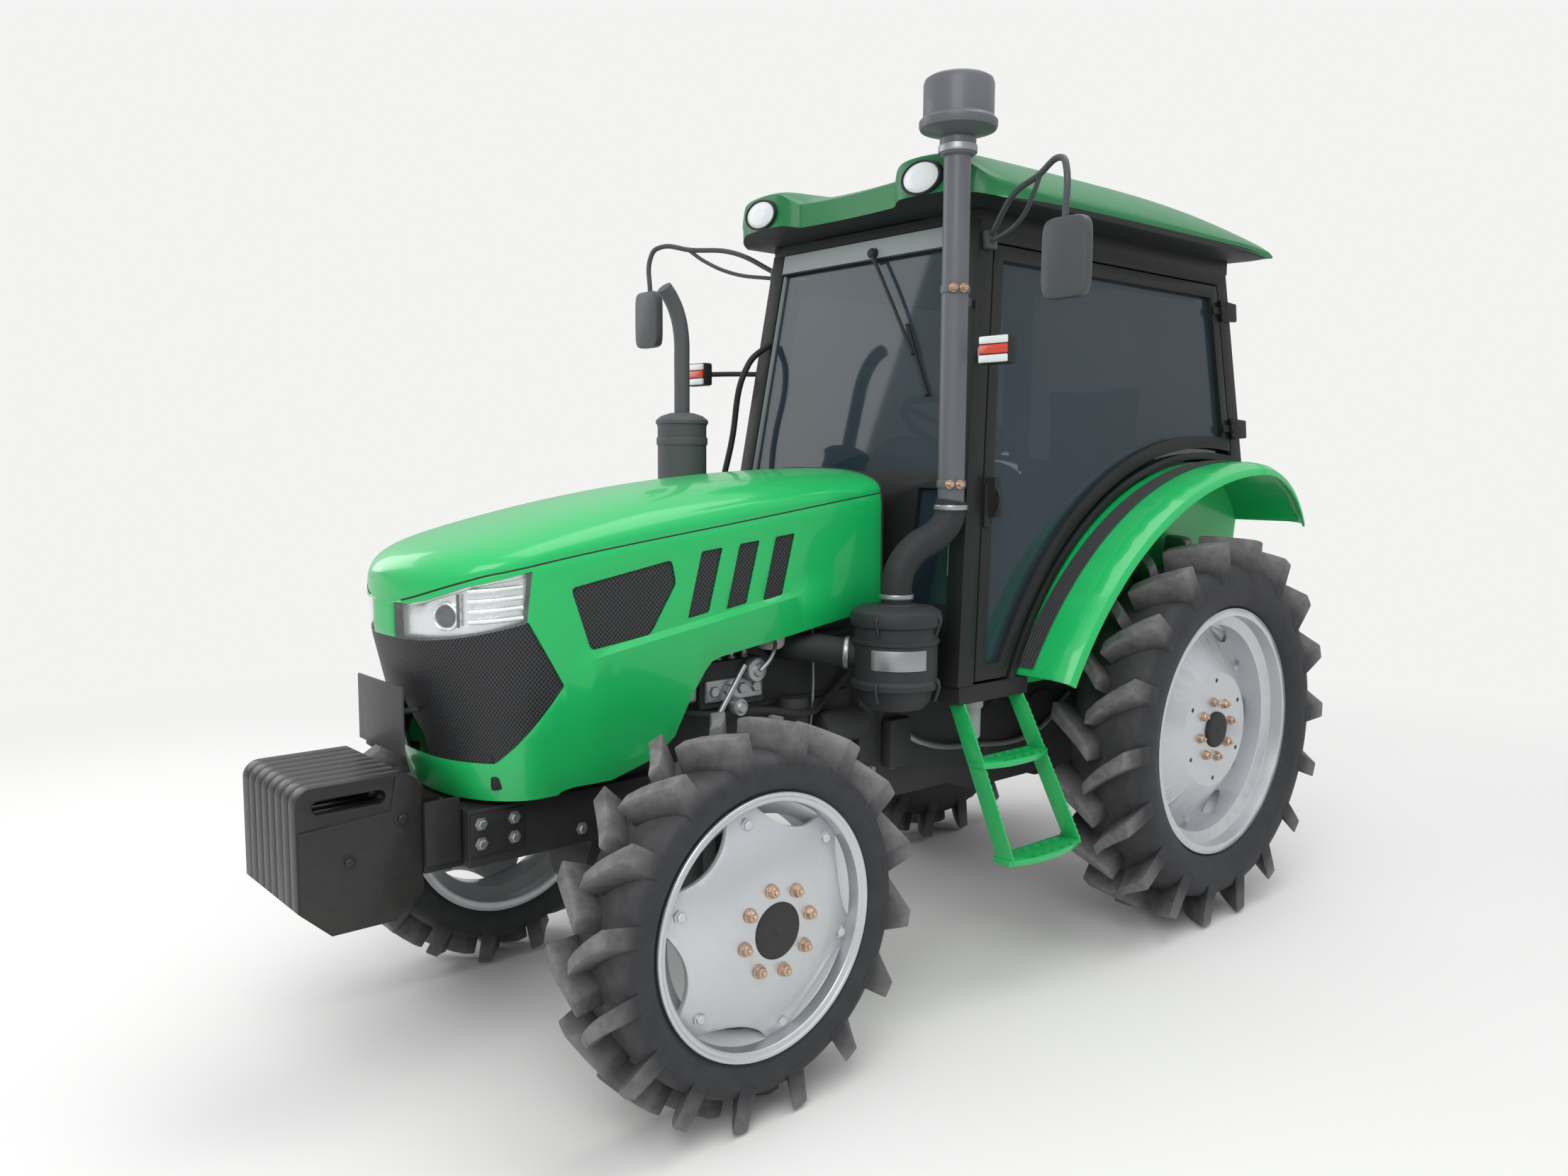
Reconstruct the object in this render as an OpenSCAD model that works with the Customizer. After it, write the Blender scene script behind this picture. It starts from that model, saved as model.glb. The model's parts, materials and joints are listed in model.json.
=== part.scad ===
// Farm tractor with a closed cab, built as an assembly of separate pieces.
// Millimetres; +X forward, +Y left, +Z up; the origin is on the ground under the middle of the plan box.
// Every module is drawn from the point on the ground under the rear axle and moved by place().

/* [Wheels] */
// distance between the front and rear axles
wheelbase = 2100; // [1900:10:2300]
// distance between the middles of the left and right tyres
track = 1310; // [1200:10:1500]
// radius of the front tyres over the lug tips
front_tyre_r = 500; // [460:5:540]
// width of the front tyres
front_tyre_w = 228; // [180:2:280]
// radius of the front rim flange
front_rim_r = 331; // [300:1:350]
// radius of the rear tyres over the lug tips
rear_tyre_r = 685; // [640:5:720]
// width of the rear tyres
rear_tyre_w = 300; // [240:2:340]
// radius of the rear rim flange
rear_rim_r = 437; // [400:1:460]

/* [Hood] */
// rear edge of the hood, ahead of the rear axle
hood_rear_x = 1290; // [1250:5:1340]
// foremost point of the nose, ahead of the rear axle
nose_x = 2726; // [2650:2:2730]
// half the width of the hood
hood_half_w = 318; // [280:2:320]
// height of the hood's rear edge on the middle line
hood_top_z = 1600; // [1540:5:1640]
// thickness of the hood sheet with its ribs
hood_skin = 9; // [6:1:14]

/* [Cab] */
// height of the cab sill, which is the top of the floor
sill_z = 960; // [920:5:1000]
// half the width of the cab at the sill
sill_y = 590; // [560:2:620]
// how far the cab sides lean in, degrees
side_lean = 4.7; // [3:0.1:6]
// length of the cab side, from sill to top rail
side_h = 1400; // [1300:5:1450]
// depth of the pillars
pillar_d = 58; // [45:1:70]

/* [Fenders] */
// middle of the long front arc, behind the rear axle
arc_back = 200; // [150:5:250]
// height of the middle of the long front arc
arc_z = 307; // [280:1:330]
// radius of the long front arc at the outer lip
arc_r = 1280; // [1240:5:1300]
// radius of the short rear arc at the outer lip
tail_r = 335; // [300:5:380]
// rise from the lip to the crest
crest = 45; // [30:1:60]

/* [Front end] */
// half the width over the weights
weights_half_w = 184; // [150:2:220]
// front face of the weights, ahead of the rear axle
weights_front_x = 3020; // [2960:5:3060]

/* [Steering] */
// distance from the kingpin to the middle of the front tyre
kingpin_inset = 150; // [130:1:170]

/* [Linkage] */
// length from the rear axle to the ends of the lower links
link_reach = 900; // [820:5:950]

/* [Fits] */
// radial clearance of a turning fit
run_fit = 0.05; // [0.02:0.01:0.1]
// gap between a door or lid and what it closes on
shut_gap = 7; // [5:1:10]

/* [Hidden] */

// the plan box runs from the link ends to the weights, so the rear axle stands here
rear_axle_x = (link_reach - weights_front_x) / 2;
tyre_y = track / 2;
engine_y = 170;
engine_x = [1180, wheelbase - 20];
frame_x = weights_front_x - 400;
carrier_x = frame_x + 100;
kingpin_y = tyre_y - kingpin_inset;
roof_z = sill_z + side_h * cos(side_lean) + 30;
axle_top = front_tyre_r + 120;
belly_z = axle_top + 25;
crest_r = arc_r + crest;
tail_crest_r = tail_r + crest;
crest_z = arc_z + crest_r;
tail_z = crest_z - tail_crest_r;
wall_y = tyre_y - rear_tyre_w / 2 - 35;
hood_hinge = [1330, 1545];
hub_stub_r = 35;
axle_stub_r = 40;
kingpin_r = 26;
steer_c = [600, 0, 1750];
steer_tilt = 30;
lift_pivot = [-170, 960];
link_pivot = [-110, 470];
lift_len = 420;
top_pivot = [-270, 850];
grey = [0.25, 0.25, 0.26];
black = [0.08, 0.08, 0.08];
green = [0.08, 0.6, 0.3];
silver = [0.75, 0.76, 0.77];

module place() {
  translate([rear_axle_x, 0, 0])
    children();
}

module both_sides() {
  children();
  mirror([0, 1, 0])
    children();
}

// a box between two corners
module block(a, b) {
  translate(a)
    cube(b - a);
}

// a round bar between two points
module rod(a, b, r) {
  d = b - a;
  translate(a)
    rotate([0, acos(d[2] / norm(d)), atan2(d[1], d[0])])
      cylinder(h = norm(d), r = r, $fn = 48);
}

// round bars along a list of points with a ball at each bend
module pipe_run(pts, r) {
  for (i = [0 : len(pts) - 2])
    rod(pts[i], pts[i + 1], r);
  for (i = [1 : 1 : len(pts) - 2])
    translate(pts[i])
      sphere(r = r * 1.04, $fn = 48);
}

// a shape drawn in x and z, as thick as y0 to y1
module side_plate(y0, y1) {
  translate([0, y1, 0])
    rotate([90, 0, 0])
      linear_extrude(y1 - y0)
        children();
}

// a profile drawn in radius and y, turned about a lateral axis at x, z
module turned(x, z) {
  translate([x, 0, z])
    rotate([-90, 0, 0])
      rotate_extrude($fn = 96)
        children();
}

// a disc or drum on a lateral axis
module drum(x, z, y0, y1, r) {
  translate([x, y0, z])
    rotate([-90, 0, 0])
      cylinder(h = y1 - y0, r = r, $fn = 96);
}

module engine() color(grey) {
  block([1252, -engine_y, belly_z], [engine_x[1], engine_y, 1330]);
  block([1240, -140, 560], [wheelbase - 200, 140, belly_z]);
  block([1300, -110, 1330], [wheelbase - 120, 110, 1400]);
  block([engine_x[0], -215, 600], [1270, 215, 895]);
  // pump, oil filter and starter on the open left side, generator on the right
  block([wheelbase - 400, engine_y, 930], [wheelbase - 170, 250, 1060]);
  rod([1560, 225, 740], [1560, 225, 920], 46);
  block([1540, engine_y, 800], [1580, 200, 920]);
  rod([1270, 210, 800], [1450, 210, 800], 52);
  rod([wheelbase - 250, -225, 1000], [wheelbase - 100, -225, 1000], 62);
  block([wheelbase - 220, -200, 960], [wheelbase - 130, -engine_y, 1040]);
  rod([engine_x[1], 0, 760], [engine_x[1] + 45, 0, 760], 95);
}

module transmission() color(grey) {
  side_plate(-190, 190)
    polygon([[-240, 520], [-180, 480], [700, 480], [820, 520], [1060, 520], [engine_x[0], 600],
      [engine_x[0], 880], [160, 880], [120, 1050], [-240, 1050]]);
  block([1080, -215, 620], [engine_x[0], 215, 880]);
  // power take-off shaft
  rod([-240, 0, 640], [-330, 0, 640], 17.5);
  // bosses that carry the lift shaft, the lower links and the top link
  both_sides()
    drum(lift_pivot[0], lift_pivot[1], 190, 262, 42);
  both_sides()
    drum(lift_pivot[0], lift_pivot[1], 262, 304, 20);
  both_sides()
    drum(link_pivot[0], link_pivot[1], 150, 206, 34);
  both_sides()
    block([link_pivot[0] - 34, 150, link_pivot[1]], [link_pivot[0] + 34, 190, 560]);
  both_sides()
    drum(link_pivot[0], link_pivot[1], 206, 246, 14);
  both_sides()
    block([-300, 24, top_pivot[1] - 26], [-240, 36, top_pivot[1] + 26]);
  both_sides()
    drum(top_pivot[0], top_pivot[1], 0, 36, 12);
}

module rear_axle() color(grey) both_sides() {
  drum(0, rear_tyre_r, 190, 440, 95);
  drum(0, rear_tyre_r, 420, 466, 128);
  drum(0, rear_tyre_r, 466, 560, axle_stub_r);
  block([-60, 290, rear_tyre_r], [60, 410, 800]);
}

module front_frame() color(black) {
  both_sides()
    block([wheelbase - 400, engine_y, belly_z], [frame_x, 225, 765]);
  block([wheelbase - 140, -225, axle_top], [wheelbase + 140, 225, belly_z]);
  block([frame_x - 80, -225, axle_top], [frame_x, 225, 765]);
  both_sides()
    block([wheelbase + 140, engine_y, axle_top], [frame_x - 80, 225, belly_z]);
}

module front_axle() color(grey) translate([wheelbase, 0, front_tyre_r]) {
  drum(0, 0, -430, 430, 62);
  drum(0, 0, -90, 110, 118);
  block([-100, -110, 0], [100, 110, axle_top - front_tyre_r]);
  both_sides() {
    block([-45, kingpin_y - 85, -45], [45, kingpin_y, 45]);
    translate([0, kingpin_y, -60])
      cylinder(h = 220, r = 58, $fn = 64);
    translate([0, kingpin_y, -112])
      cylinder(h = 324, r = kingpin_r, $fn = 64);
  }
}

module tie_rod() color(grey) translate([wheelbase - 165, 0, front_tyre_r]) {
  end_y = kingpin_y - 35;
  rod([0, -end_y, -140], [0, end_y, -140], 15);
  both_sides()
    rod([0, end_y, -160], [0, end_y, -108.3], 20);
}

module left_knuckle() color(grey) translate([wheelbase, kingpin_y, front_tyre_r]) {
  difference() {
    union() {
      for (z = [[-110, -66], [166, 210]])
        translate([0, 0, z[0]])
          cylinder(h = z[1] - z[0], r = 56, $fn = 64);
      for (z = [[-110, -66], [166, 210]])
        block([-48, 0, z[0]], [48, 96, z[1]]);
      block([-48, 40, -110], [48, 96, 210]);
      block([-185, -50, -108], [0, -20, -80]);
      drum(0, 0, 90, 110, 120);
      drum(0, 0, 110, 200, hub_stub_r);
    }
    translate([0, 0, -65.999])
      cylinder(h = 231.998, r = 66, $fn = 64);
    translate([0, 0, -120])
      cylinder(h = 340, r = kingpin_r + run_fit, $fn = 64);
  }
}

module right_knuckle() {
  mirror([0, 1, 0])
    left_knuckle();
}

// a ring of flat facets from a section in radius and y
module facet_ring(prof, n) {
  m = len(prof);
  polyhedron(
    [for (i = [0 : n - 1], p = prof) [p[0] * sin(360 * i / n), p[1], p[0] * cos(360 * i / n)]],
    [for (i = [0 : n - 1], j = [0 : m - 1])
      each [[i * m + j, (i + 1) % n * m + j, i * m + (j + 1) % m],
        [i * m + (j + 1) % m, (i + 1) % n * m + j, (i + 1) % n * m + (j + 1) % m]]]);
}

// one lug, from the middle line out and back to the shoulder, its foot sunk in the tyre
module lug(tip, crown, half, back, wide) {
  turn = 180 / PI / (tip * 0.93);
  ends = [[0, -0.07 * half, crown - 14, 0.40], [1, half, crown * 0.965 - 34, 0.52]];
  pts = [for (e = ends, c = [[-1, 0], [1, 0], [1, 1], [-1, 1]])
    let (r = c[1] > 0 ? tip : e[2],
      a = turn * (-back * e[0] + c[0] * wide * e[3] * (c[1] > 0 ? 1 : 1.5)),
      y = e[1] - (c[1] > 0 ? 5 : 17) * e[0])
      [r * sin(a), y, r * cos(a)]];
  polyhedron(pts, [[0, 2, 1], [0, 3, 2], [4, 5, 6], [4, 6, 7], [0, 1, 5], [0, 5, 4],
    [1, 2, 6], [1, 6, 5], [2, 3, 7], [2, 7, 6], [3, 0, 4], [3, 4, 7]]);
}

// two rows of lugs that alternate; a corner of the first lug stands straight down
module lugs(n, tip, crown, half, back, wide) {
  first = 180 - 180 / PI * wide * 0.40 / (tip * 0.93);
  for (i = [0 : n - 1]) {
    rotate([0, first + 360 * i / n, 0])
      lug(tip, crown, half, back, wide);
    rotate([0, first + 360 * (i + 0.5) / n, 0])
      mirror([0, 1, 0])
        lug(tip, crown, half, back, wide);
  }
}

// half a section from the bead to the middle of the tread, then its mirror image
function both_halves(p) = concat(p, [for (i = [len(p) - 1 : -1 : 0]) [p[i][0], -p[i][1]]]);

module front_tyre() color(black) translate([wheelbase, 0, front_tyre_r]) {
  h = front_tyre_w / 2;
  n = 32;
  b = (front_rim_r - 18.7) / cos(180 / n);
  crown = front_tyre_r - 72;
  facet_ring(both_halves([[b, h - 22.5], [front_rim_r + 3, h - 22.5], [front_rim_r + 14, h - 10],
    [front_rim_r + 45, h - 3], [crown - 22, h - 8], [crown, h - 40]]), n);
  lugs(16, front_tyre_r, crown, h, 92, 42);
}

module rear_tyre() color(black) translate([0, 0, rear_tyre_r]) {
  h = rear_tyre_w / 2;
  n = 36;
  b = (rear_rim_r - 18.7) / cos(180 / n);
  crown = rear_tyre_r - 87;
  facet_ring(both_halves([[b, h - 46.5], [rear_rim_r + 3, h - 46.5], [rear_rim_r + 15, h - 32],
    [rear_rim_r + 70, h - 5], [crown - 30, h - 10], [crown, h - 52]]), n);
  lugs(18, rear_tyre_r, crown, h, 118, 50);
}

module front_left_tyre() {
  translate([0, tyre_y, 0])
    front_tyre();
}

module front_right_tyre() {
  translate([0, -tyre_y, 0])
    front_tyre();
}

module rear_left_tyre() {
  translate([0, tyre_y, 0])
    rear_tyre();
}

module rear_right_tyre() {
  translate([0, -tyre_y, 0])
    rear_tyre();
}

// the rolled rim with its two flanges; w is half the width over the flanges
module rim_ring(x, z, flange_r, w) {
  s = flange_r - 19;
  turned(x, z)
    polygon([[flange_r, -w], [flange_r, -w + 8], [s, -w + 10], [s, -w * 0.55], [s - 38, -w * 0.4],
      [s - 38, w * 0.4], [s, w * 0.55], [s, w - 10], [flange_r, w - 8], [flange_r, w], [s - 8, w],
      [s - 8, w * 0.6], [s - 46, w * 0.45], [s - 46, -w * 0.45], [s - 8, -w * 0.6], [s - 8, -w]]);
}

// openings between the six arms of a wheel disc
module disc_openings(x, z, y0, y1, far, r, first) {
  for (i = [0 : 5])
    translate([x, 0, z])
      rotate([0, first + 60 * i, 0])
        drum(far, 0, y0, y1, r);
}

module front_rim() color(silver) {
  w = front_tyre_w / 2 - 12;
  inner = front_rim_r - 64;
  rim_ring(wheelbase, front_tyre_r, front_rim_r, w);
  difference() {
    union() {
      turned(wheelbase, front_tyre_r)
        polygon([[0, 62], [118, 62], [160, 57], [200, 46], [232, 30], [inner + 2, 8], [inner + 2, 20],
          [238, 41], [205, 58], [164, 69], [118, 74], [0, 74]]);
      drum(wheelbase, front_tyre_r, -36, 70, 82);
      drum(wheelbase, front_tyre_r, 70, 92, 66);
    }
    drum(wheelbase, front_tyre_r, -37, 57, hub_stub_r + run_fit);
    disc_openings(wheelbase, front_tyre_r, 0, 60, inner + 63, 104, 12);
  }
}

module rear_rim() color(silver) {
  w = rear_tyre_w / 2 - 36;
  inner = rear_rim_r - 64;
  rim_ring(0, rear_tyre_r, rear_rim_r, w);
  difference() {
    union() {
      turned(0, rear_tyre_r)
        polygon([[0, 58], [198, 58], [335, -42], [inner + 2, -46], [inner + 2, -32], [340, -28],
          [204, 72], [0, 72]]);
      drum(0, rear_tyre_r, 472 - tyre_y, 60, 118);
      drum(0, rear_tyre_r, 72, 84, 62);
    }
    drum(0, rear_tyre_r, 471 - tyre_y, 562 - tyre_y, axle_stub_r + run_fit);
    disc_openings(0, rear_tyre_r, -60, 20, inner + 63, 96, 0);
  }
}

module front_left_rim() {
  translate([0, tyre_y, 0])
    front_rim();
}

module front_right_rim() {
  mirror([0, 1, 0])
    front_left_rim();
}

module rear_left_rim() {
  translate([0, tyre_y, 0])
    rear_rim();
}

module rear_right_rim() {
  mirror([0, 1, 0])
    rear_left_rim();
}

module weights() color(black) {
  n = 8;
  pitch = 2 * weights_half_w / n;
  front = weights_front_x;
  for (i = [0 : n - 1])
    translate([0, -weights_half_w + pitch * i, 0])
      side_plate(1, pitch - 1)
        difference() {
          union() {
            polygon([[carrier_x, 575], [carrier_x + 70, 520], [front - 75, 520], [front, 590],
              [front, 837], [front - 40, 877], [carrier_x + 40, 877], [carrier_x, 840]]);
            translate([front - 40, 837])
              circle(r = 40, $fn = 48);
          }
          // the long slot for the hand
          translate([front - 195, 812])
            square([140, 34]);
          translate([front - 195, 829])
            circle(r = 17, $fn = 32);
          translate([front - 55, 829])
            circle(r = 17, $fn = 32);
        }
}

module weight_carrier() color(black) {
  block([frame_x, -190, 640], [carrier_x, 190, 690]);
  both_sides()
    block([frame_x, 150, 620], [carrier_x, 190, 765]);
  block([frame_x, -60, 690], [carrier_x, 60, 770]);
  block([carrier_x - 20, -150, 690], [carrier_x, 150, 840]);
}

module fuel_tank() color(black) {
  out = wall_y - 20;
  block([330, -out, 590], [1060, -215, 890]);
  block([400, -out, 890], [470, -out + 110, 905]);
  block([900, -out, 890], [970, -out + 110, 905]);
}

module air_cleaner() color(grey) {
  c = [1400, 492];
  translate([c[0], c[1], 904])
    cylinder(h = 313, r = 134, $fn = 96);
  pipe_run([[c[0], c[1], 1060], [c[0] + 190, 260, 1080], [c[0] + 190, engine_y, 1080]], 44);
}

module intake_stack() color(grey) {
  pipe_run([[1400, 492, 1217], [1400, 492, 1330], [1225, 540, 1485], [1225, 540, 2515]], 40);
  translate([1225, 540, 2500]) {
    cylinder(h = 66, r = 60, $fn = 64);
    translate([0, 0, 60])
      cylinder(h = 150, r = 102, $fn = 96);
    translate([0, 0, 74])
      cylinder(h = 16, r = 112, $fn = 96);
  }
}

module exhaust() color(grey) {
  c = [1500, -418];
  rod([c[0], -engine_y, 1090], [c[0], c[1], 1090], 27);
  translate([c[0], c[1], 1090])
    sphere(r = 27, $fn = 48);
  rod([c[0], c[1], 1090], [c[0], c[1], 1260], 27);
  translate([c[0], c[1], 1240])
    cylinder(h = 545, r = 88, $fn = 96);
  pipe_run([[c[0], c[1], 1780], [c[0], c[1], 2100], [c[0] + 60, c[1], 2180]], 27);
}

// the hood is lofted through stations; t shrinks it for the inner faces
// each station: x, half width, height of the seam under the top panel, height of the crown, bulge
function stations(t) = concat(
  [for (x = [hood_rear_x - (t > 0 ? 20 : 0), 1390, 1490, 1600, 1720, 1840, 1960, 2080, 2200, 2310, 2400, 2460])
    [x, hood_half_w - t, seam(x) - t, crown(x) - t, swell(x)]],
  [for (a = [12, 24, 36, 47, 57, 66, 74, 81, 86])
    let (x = 2470 + (nose_x - 2470 - t) * sin(a), droop = 30 * pow(sin(a), 6))
      [x, (hood_half_w - t) * pow(cos(a), 0.86), seam(x) - t - droop, crown(x) - t - droop, 0]]);

function back(x) = max(0, x - hood_rear_x);
function crown(x) = hood_top_z - 3 * back(x) / 100 - 172 * pow(back(x) / 1400, 2.4);
function seam(x) = crown(x) - 68 - 40 * max(0, sin(180 * back(x) / 1300));
// the side stands out a little below the ridge that runs back from the side window
function ridge(x) = 1140 + (2326 - x) * 0.165;
function swell(x) = 11 * max(0, min(1, (x - 1400) / 260, (2400 - x) / 90));

// half a section from the foot to the crown, as y and z
function half_section(s) = [
  [s[1] + s[4] * 0.6, 1020], [s[1] + s[4], ridge(s[0]) - 16], [s[1], ridge(s[0])],
  [s[1] - 2, s[2] - 30], [s[1] - 6, s[2]],
  for (k = [[0.99, 0.2], [0.955, 0.4], [0.87, 0.62], [0.72, 0.79], [0.5, 0.91], [0.25, 0.98]])
    [s[1] * k[0] - 6 * k[0], s[2] + (s[3] - s[2]) * k[1]]];

// the skirt tucks in towards its foot, so the steered tyres clear it
function tuck(s, z) = 0.14 * (1020 - z) * s[1] / hood_half_w;

function section(s, z0, lean) =
  let (h = concat([[s[1] + s[4] * 0.6 - tuck(s, z0), z0]], half_section(s)),
    all = concat(h, [[0, s[3]]], [for (i = [len(h) - 1 : -1 : 0]) [-h[i][0], h[i][1]]]))
  [for (p = all) [s[0] - lean * max(0, 1200 - p[1]), p[0], p[1]]];

module hood_solid(t) {
  st = stations(t);
  z0 = t > 0 ? 700 : 780;
  m = 25;
  n = len(st);
  pts = [for (s = st) each section(s, z0, s[0] > 2460 ? 0.26 * pow((s[0] - 2460) / 266, 0.7) : 0)];
  sides = [for (i = [0 : n - 2], j = [0 : m - 1])
    each [[i * m + j, (i + 1) * m + j, i * m + (j + 1) % m],
      [(i + 1) * m + j, (i + 1) * m + (j + 1) % m, i * m + (j + 1) % m]]];
  // both ends are closed by a fan from the crown
  c = (m - 1) / 2;
  e = (n - 1) * m;
  caps = [for (j = [0 : m - 1])
    if (j != c && j + 1 != c)
      each [[c, j, (j + 1) % m], [e + c, e + (j + 1) % m, e + j]]];
  polyhedron(pts, concat(sides, caps));
}

// what is missing under the lower edge of the hood sides
module hood_under() {
  side_plate(-400, 400)
    polygon([[1200, 1200], [1296, 1195], [1407, 1164], [1700, 1122], [1952, 1086], [2010, 1000],
      [2060, 886], [2120, 835], [2252, 796], [2400, 796], [2480, 700], [1200, 700]]);
}

module grille_cut() {
  side_plate(-400, 400)
    polygon([[2403, 1065], [2500, 1190], [2800, 1196], [2800, 880], [2560, 880]]);
}

module mesh_cut() {
  side_plate(-400, 400)
    polygon([[2381, 1307], [2074, 1363], [2060, 1300], [2143, 1171], [2326, 1146]]);
}

// three slots behind the side window, each leaning forward at its foot
module slot_cut() {
  side_plate(-400, 400)
    for (x = [1940 : -131 : 1670])
      let (z = 1385 + (1940 - x) * 0.115)
        polygon([[x - 36, z + 4], [x + 36, z - 4], [x + 84, z - 182], [x + 12, z - 170]]);
}

module lamp_cut() {
  both_sides()
    side_plate(60, 400)
      polygon([[2485, 1352], [2501, 1216], [2800, 1216], [2800, 1268], [2715, 1272], [2640, 1312]]);
}

module hood_shell() color(green) {
  difference() {
    hood_solid(0);
    hood_solid(hood_skin);
    hood_under();
    grille_cut();
    mesh_cut();
    slot_cut();
    lamp_cut();
  }
  // ears on the hinge pins, up to the underside of the hood
  both_sides()
    difference() {
      union() {
        drum(hood_hinge[0], hood_hinge[1], 130, 150, 20);
        block([hood_hinge[0] - 14, 130, hood_hinge[1]], [hood_hinge[0] + 14, 150, 1592]);
      }
      drum(hood_hinge[0], hood_hinge[1], 129, 151, 10 + run_fit);
    }
}

module hood_grille() color(black) {
  intersection() {
    difference() {
      hood_solid(3);
      hood_solid(hood_skin);
    }
    union() {
      grille_cut();
      mesh_cut();
      slot_cut();
    }
  }
  // the blank plate and its two stand-offs
  block([nose_x + 10, -134, 905], [nose_x + 18, 134, 1074]);
  both_sides()
    rod([nose_x - 62, 60, 1000], [nose_x + 12, 60, 1000], 8);
}

module hood_lamps() color(silver) {
  intersection() {
    difference() {
      hood_solid(1);
      hood_solid(hood_skin + 16);
    }
    lamp_cut();
  }
}

module cab_floor() color(black) {
  block([330, -wall_y, 905], [1225, wall_y, sill_z]);
  both_sides()
    block([898, wall_y, 905], [1225, sill_y - 2, sill_z]);
  block([-400, -wall_y, 1130], [330, wall_y, 1160]);
  block([330, -wall_y, sill_z], [350, wall_y, 1160]);
  // cab mounts
  both_sides() {
    translate([1100, 160, 880])
      cylinder(h = 25, r = 45, $fn = 48);
    block([-45, 305, 800], [45, 395, 1130]);
  }
}

// the leaning left cab side: x along, z up the side, y outwards from its outer face
module cab_side() {
  translate([0, sill_y, sill_z])
    rotate([side_lean, 0, 0])
      children();
}

// edges of the pillars, at a height up the side
function a_rear(w) = 1165 - 190 * w / 1405;
function c_front(w) = -395 + 75 * (w - 640) / 730;

// the doorway, drawn in by i on every edge
module doorway(i) {
  top = side_h - 62 - i;
  foot = i > 0 ? i + 3 : 0;
  difference() {
    polygon([[a_rear(foot) - i, foot], [a_rear(top) - i, top], [c_front(top) + i, top],
      [c_front(300) + i, 300], [700, foot]]);
    translate([-arc_back, (arc_z - sill_z) / cos(side_lean)])
      circle(r = crest_r + 40 + i + (i > 0 ? 10 : 0), $fn = 180);
  }
}

module side_frame() {
  side_plate(-pillar_d, 0)
    difference() {
      polygon([[a_rear(0) + 70, 0], [a_rear(side_h) + 70, side_h], [c_front(side_h) - 70, side_h],
        [c_front(640) - 70, 640], [c_front(300) - 70, 300], [900, 0]]);
      doorway(0);
      translate([-arc_back, (arc_z - sill_z) / cos(side_lean)])
        circle(r = crest_r + 16, $fn = 180);
      translate([-600, 0])
        square([500, 620]);
    }
}

hinge_w = [side_h - 600, side_h - 160];
function hinge_at(w) = [c_front(w) + 3, 15, w];

// the windows of the leaning front, in y and up the front, up to the pillars
function screen_y(v) = sill_y - pillar_d - 3 - v * tan(side_lean);

module windscreen() {
  top = side_h - 65;
  polygon([[-screen_y(640), 640], [screen_y(640), 640], [screen_y(top), top], [-screen_y(top), top]]);
}

module corner_window() {
  polygon([[345, 240], [screen_y(240), 240], [screen_y(590), 590], [345, 590]]);
}

module front_wall() {
  // drawn in y and up the leaning front, then stood up
  lean = atan(190 / 1405);
  translate([1233, 0, sill_z])
    rotate([0, -lean, 0])
      rotate([90, 0, 90])
        translate([0, 0, -42])
          linear_extrude(42)
            difference() {
              polygon([[-540, 2], [540, 2], [436, side_h + 8], [-436, side_h + 8]]);
              windscreen();
              corner_window();
              mirror([1, 0])
                corner_window();
            }
}

module rear_wall() {
  block([-425, -wall_y, 1130], [-400, wall_y, 1590]);
  block([-462, -500, 1590], [-412, 500, 1645]);
}

// the pillars and the front wall stand flat on the floor
module pillar_foot() {
  block([600, -700, sill_z - 20], [1300, 700, sill_z]);
}

module cab_frame() color(black) {
  both_sides() {
    difference() {
      cab_side()
        side_frame();
      pillar_foot();
    }
    cab_side() {
      for (w = hinge_w) {
        rod(hinge_at(w - 40), hinge_at(w - 16), 11);
        rod(hinge_at(w + 16), hinge_at(w + 40), 11);
        rod(hinge_at(w - 40), hinge_at(w + 40), 5);
        block([c_front(w) - 50, -1, w - 38], [c_front(w) - 1, 8, w - 18]);
        block([c_front(w) - 50, -1, w + 18], [c_front(w) - 1, 8, w + 38]);
      }
    }
  }
  difference() {
    front_wall();
    pillar_foot();
  }
  rear_wall();
  // the ring under the roof
  difference() {
    block([-395, -478, roof_z - 49], [1040, 478, roof_z]);
    block([-320, -410, roof_z - 85], [965, 410, roof_z + 1]);
  }
  // arms that carry the hood
  both_sides() {
    block([1140, 154, 1475], [1344, 166, 1508]);
    block([1316, 154, 1500], [1344, 166, hood_hinge[1]]);
    drum(hood_hinge[0], hood_hinge[1], 154, 166, 18);
    drum(hood_hinge[0], hood_hinge[1], 128, 166, 10);
  }
}

module front_pane() {
  translate([1233, 0, sill_z])
    rotate([0, -atan(190 / 1405), 0])
      rotate([90, 0, 90])
        translate([0, 0, -24])
          linear_extrude(6)
            children();
}

module cab_glass() color([0.5, 0.65, 0.7, 0.5]) {
  front_pane()
    windscreen();
  front_pane()
    corner_window();
  front_pane()
    mirror([1, 0])
      corner_window();
  // rear window, between the rear pillars
  translate([-437, 0, 1645])
    rotate([0, atan(75 / 691), 0])
      rotate([90, 0, 90])
        linear_extrude(6)
          polygon([[-474, 1], [474, 1], [417, roof_z - 1693], [-417, roof_z - 1693]]);
}

// the roof is lofted over lines that run from its rear edge to its brow
// each line: y, rear x, front x, height of the rim, height of the top
roof_lines = [[604, -300, 900, 25, 42], [592, -520, 1075, 8, 62], [560, -560, 1125, 0, 96],
  [500, -590, 1165, 0, 146], [458, -600, 1186, 0, 166], [300, -608, 1192, 0, 172],
  [262, -609, 1186, 0, 174], [222, -609, 1150, 0, 176], [0, -610, 1140, 0, 178]];
roof_steps = [0, 0.02, 0.06, 0.14, 0.25, 0.4, 0.55, 0.68, 0.78, 0.86, 0.92, 0.96, 0.985, 1];

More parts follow.
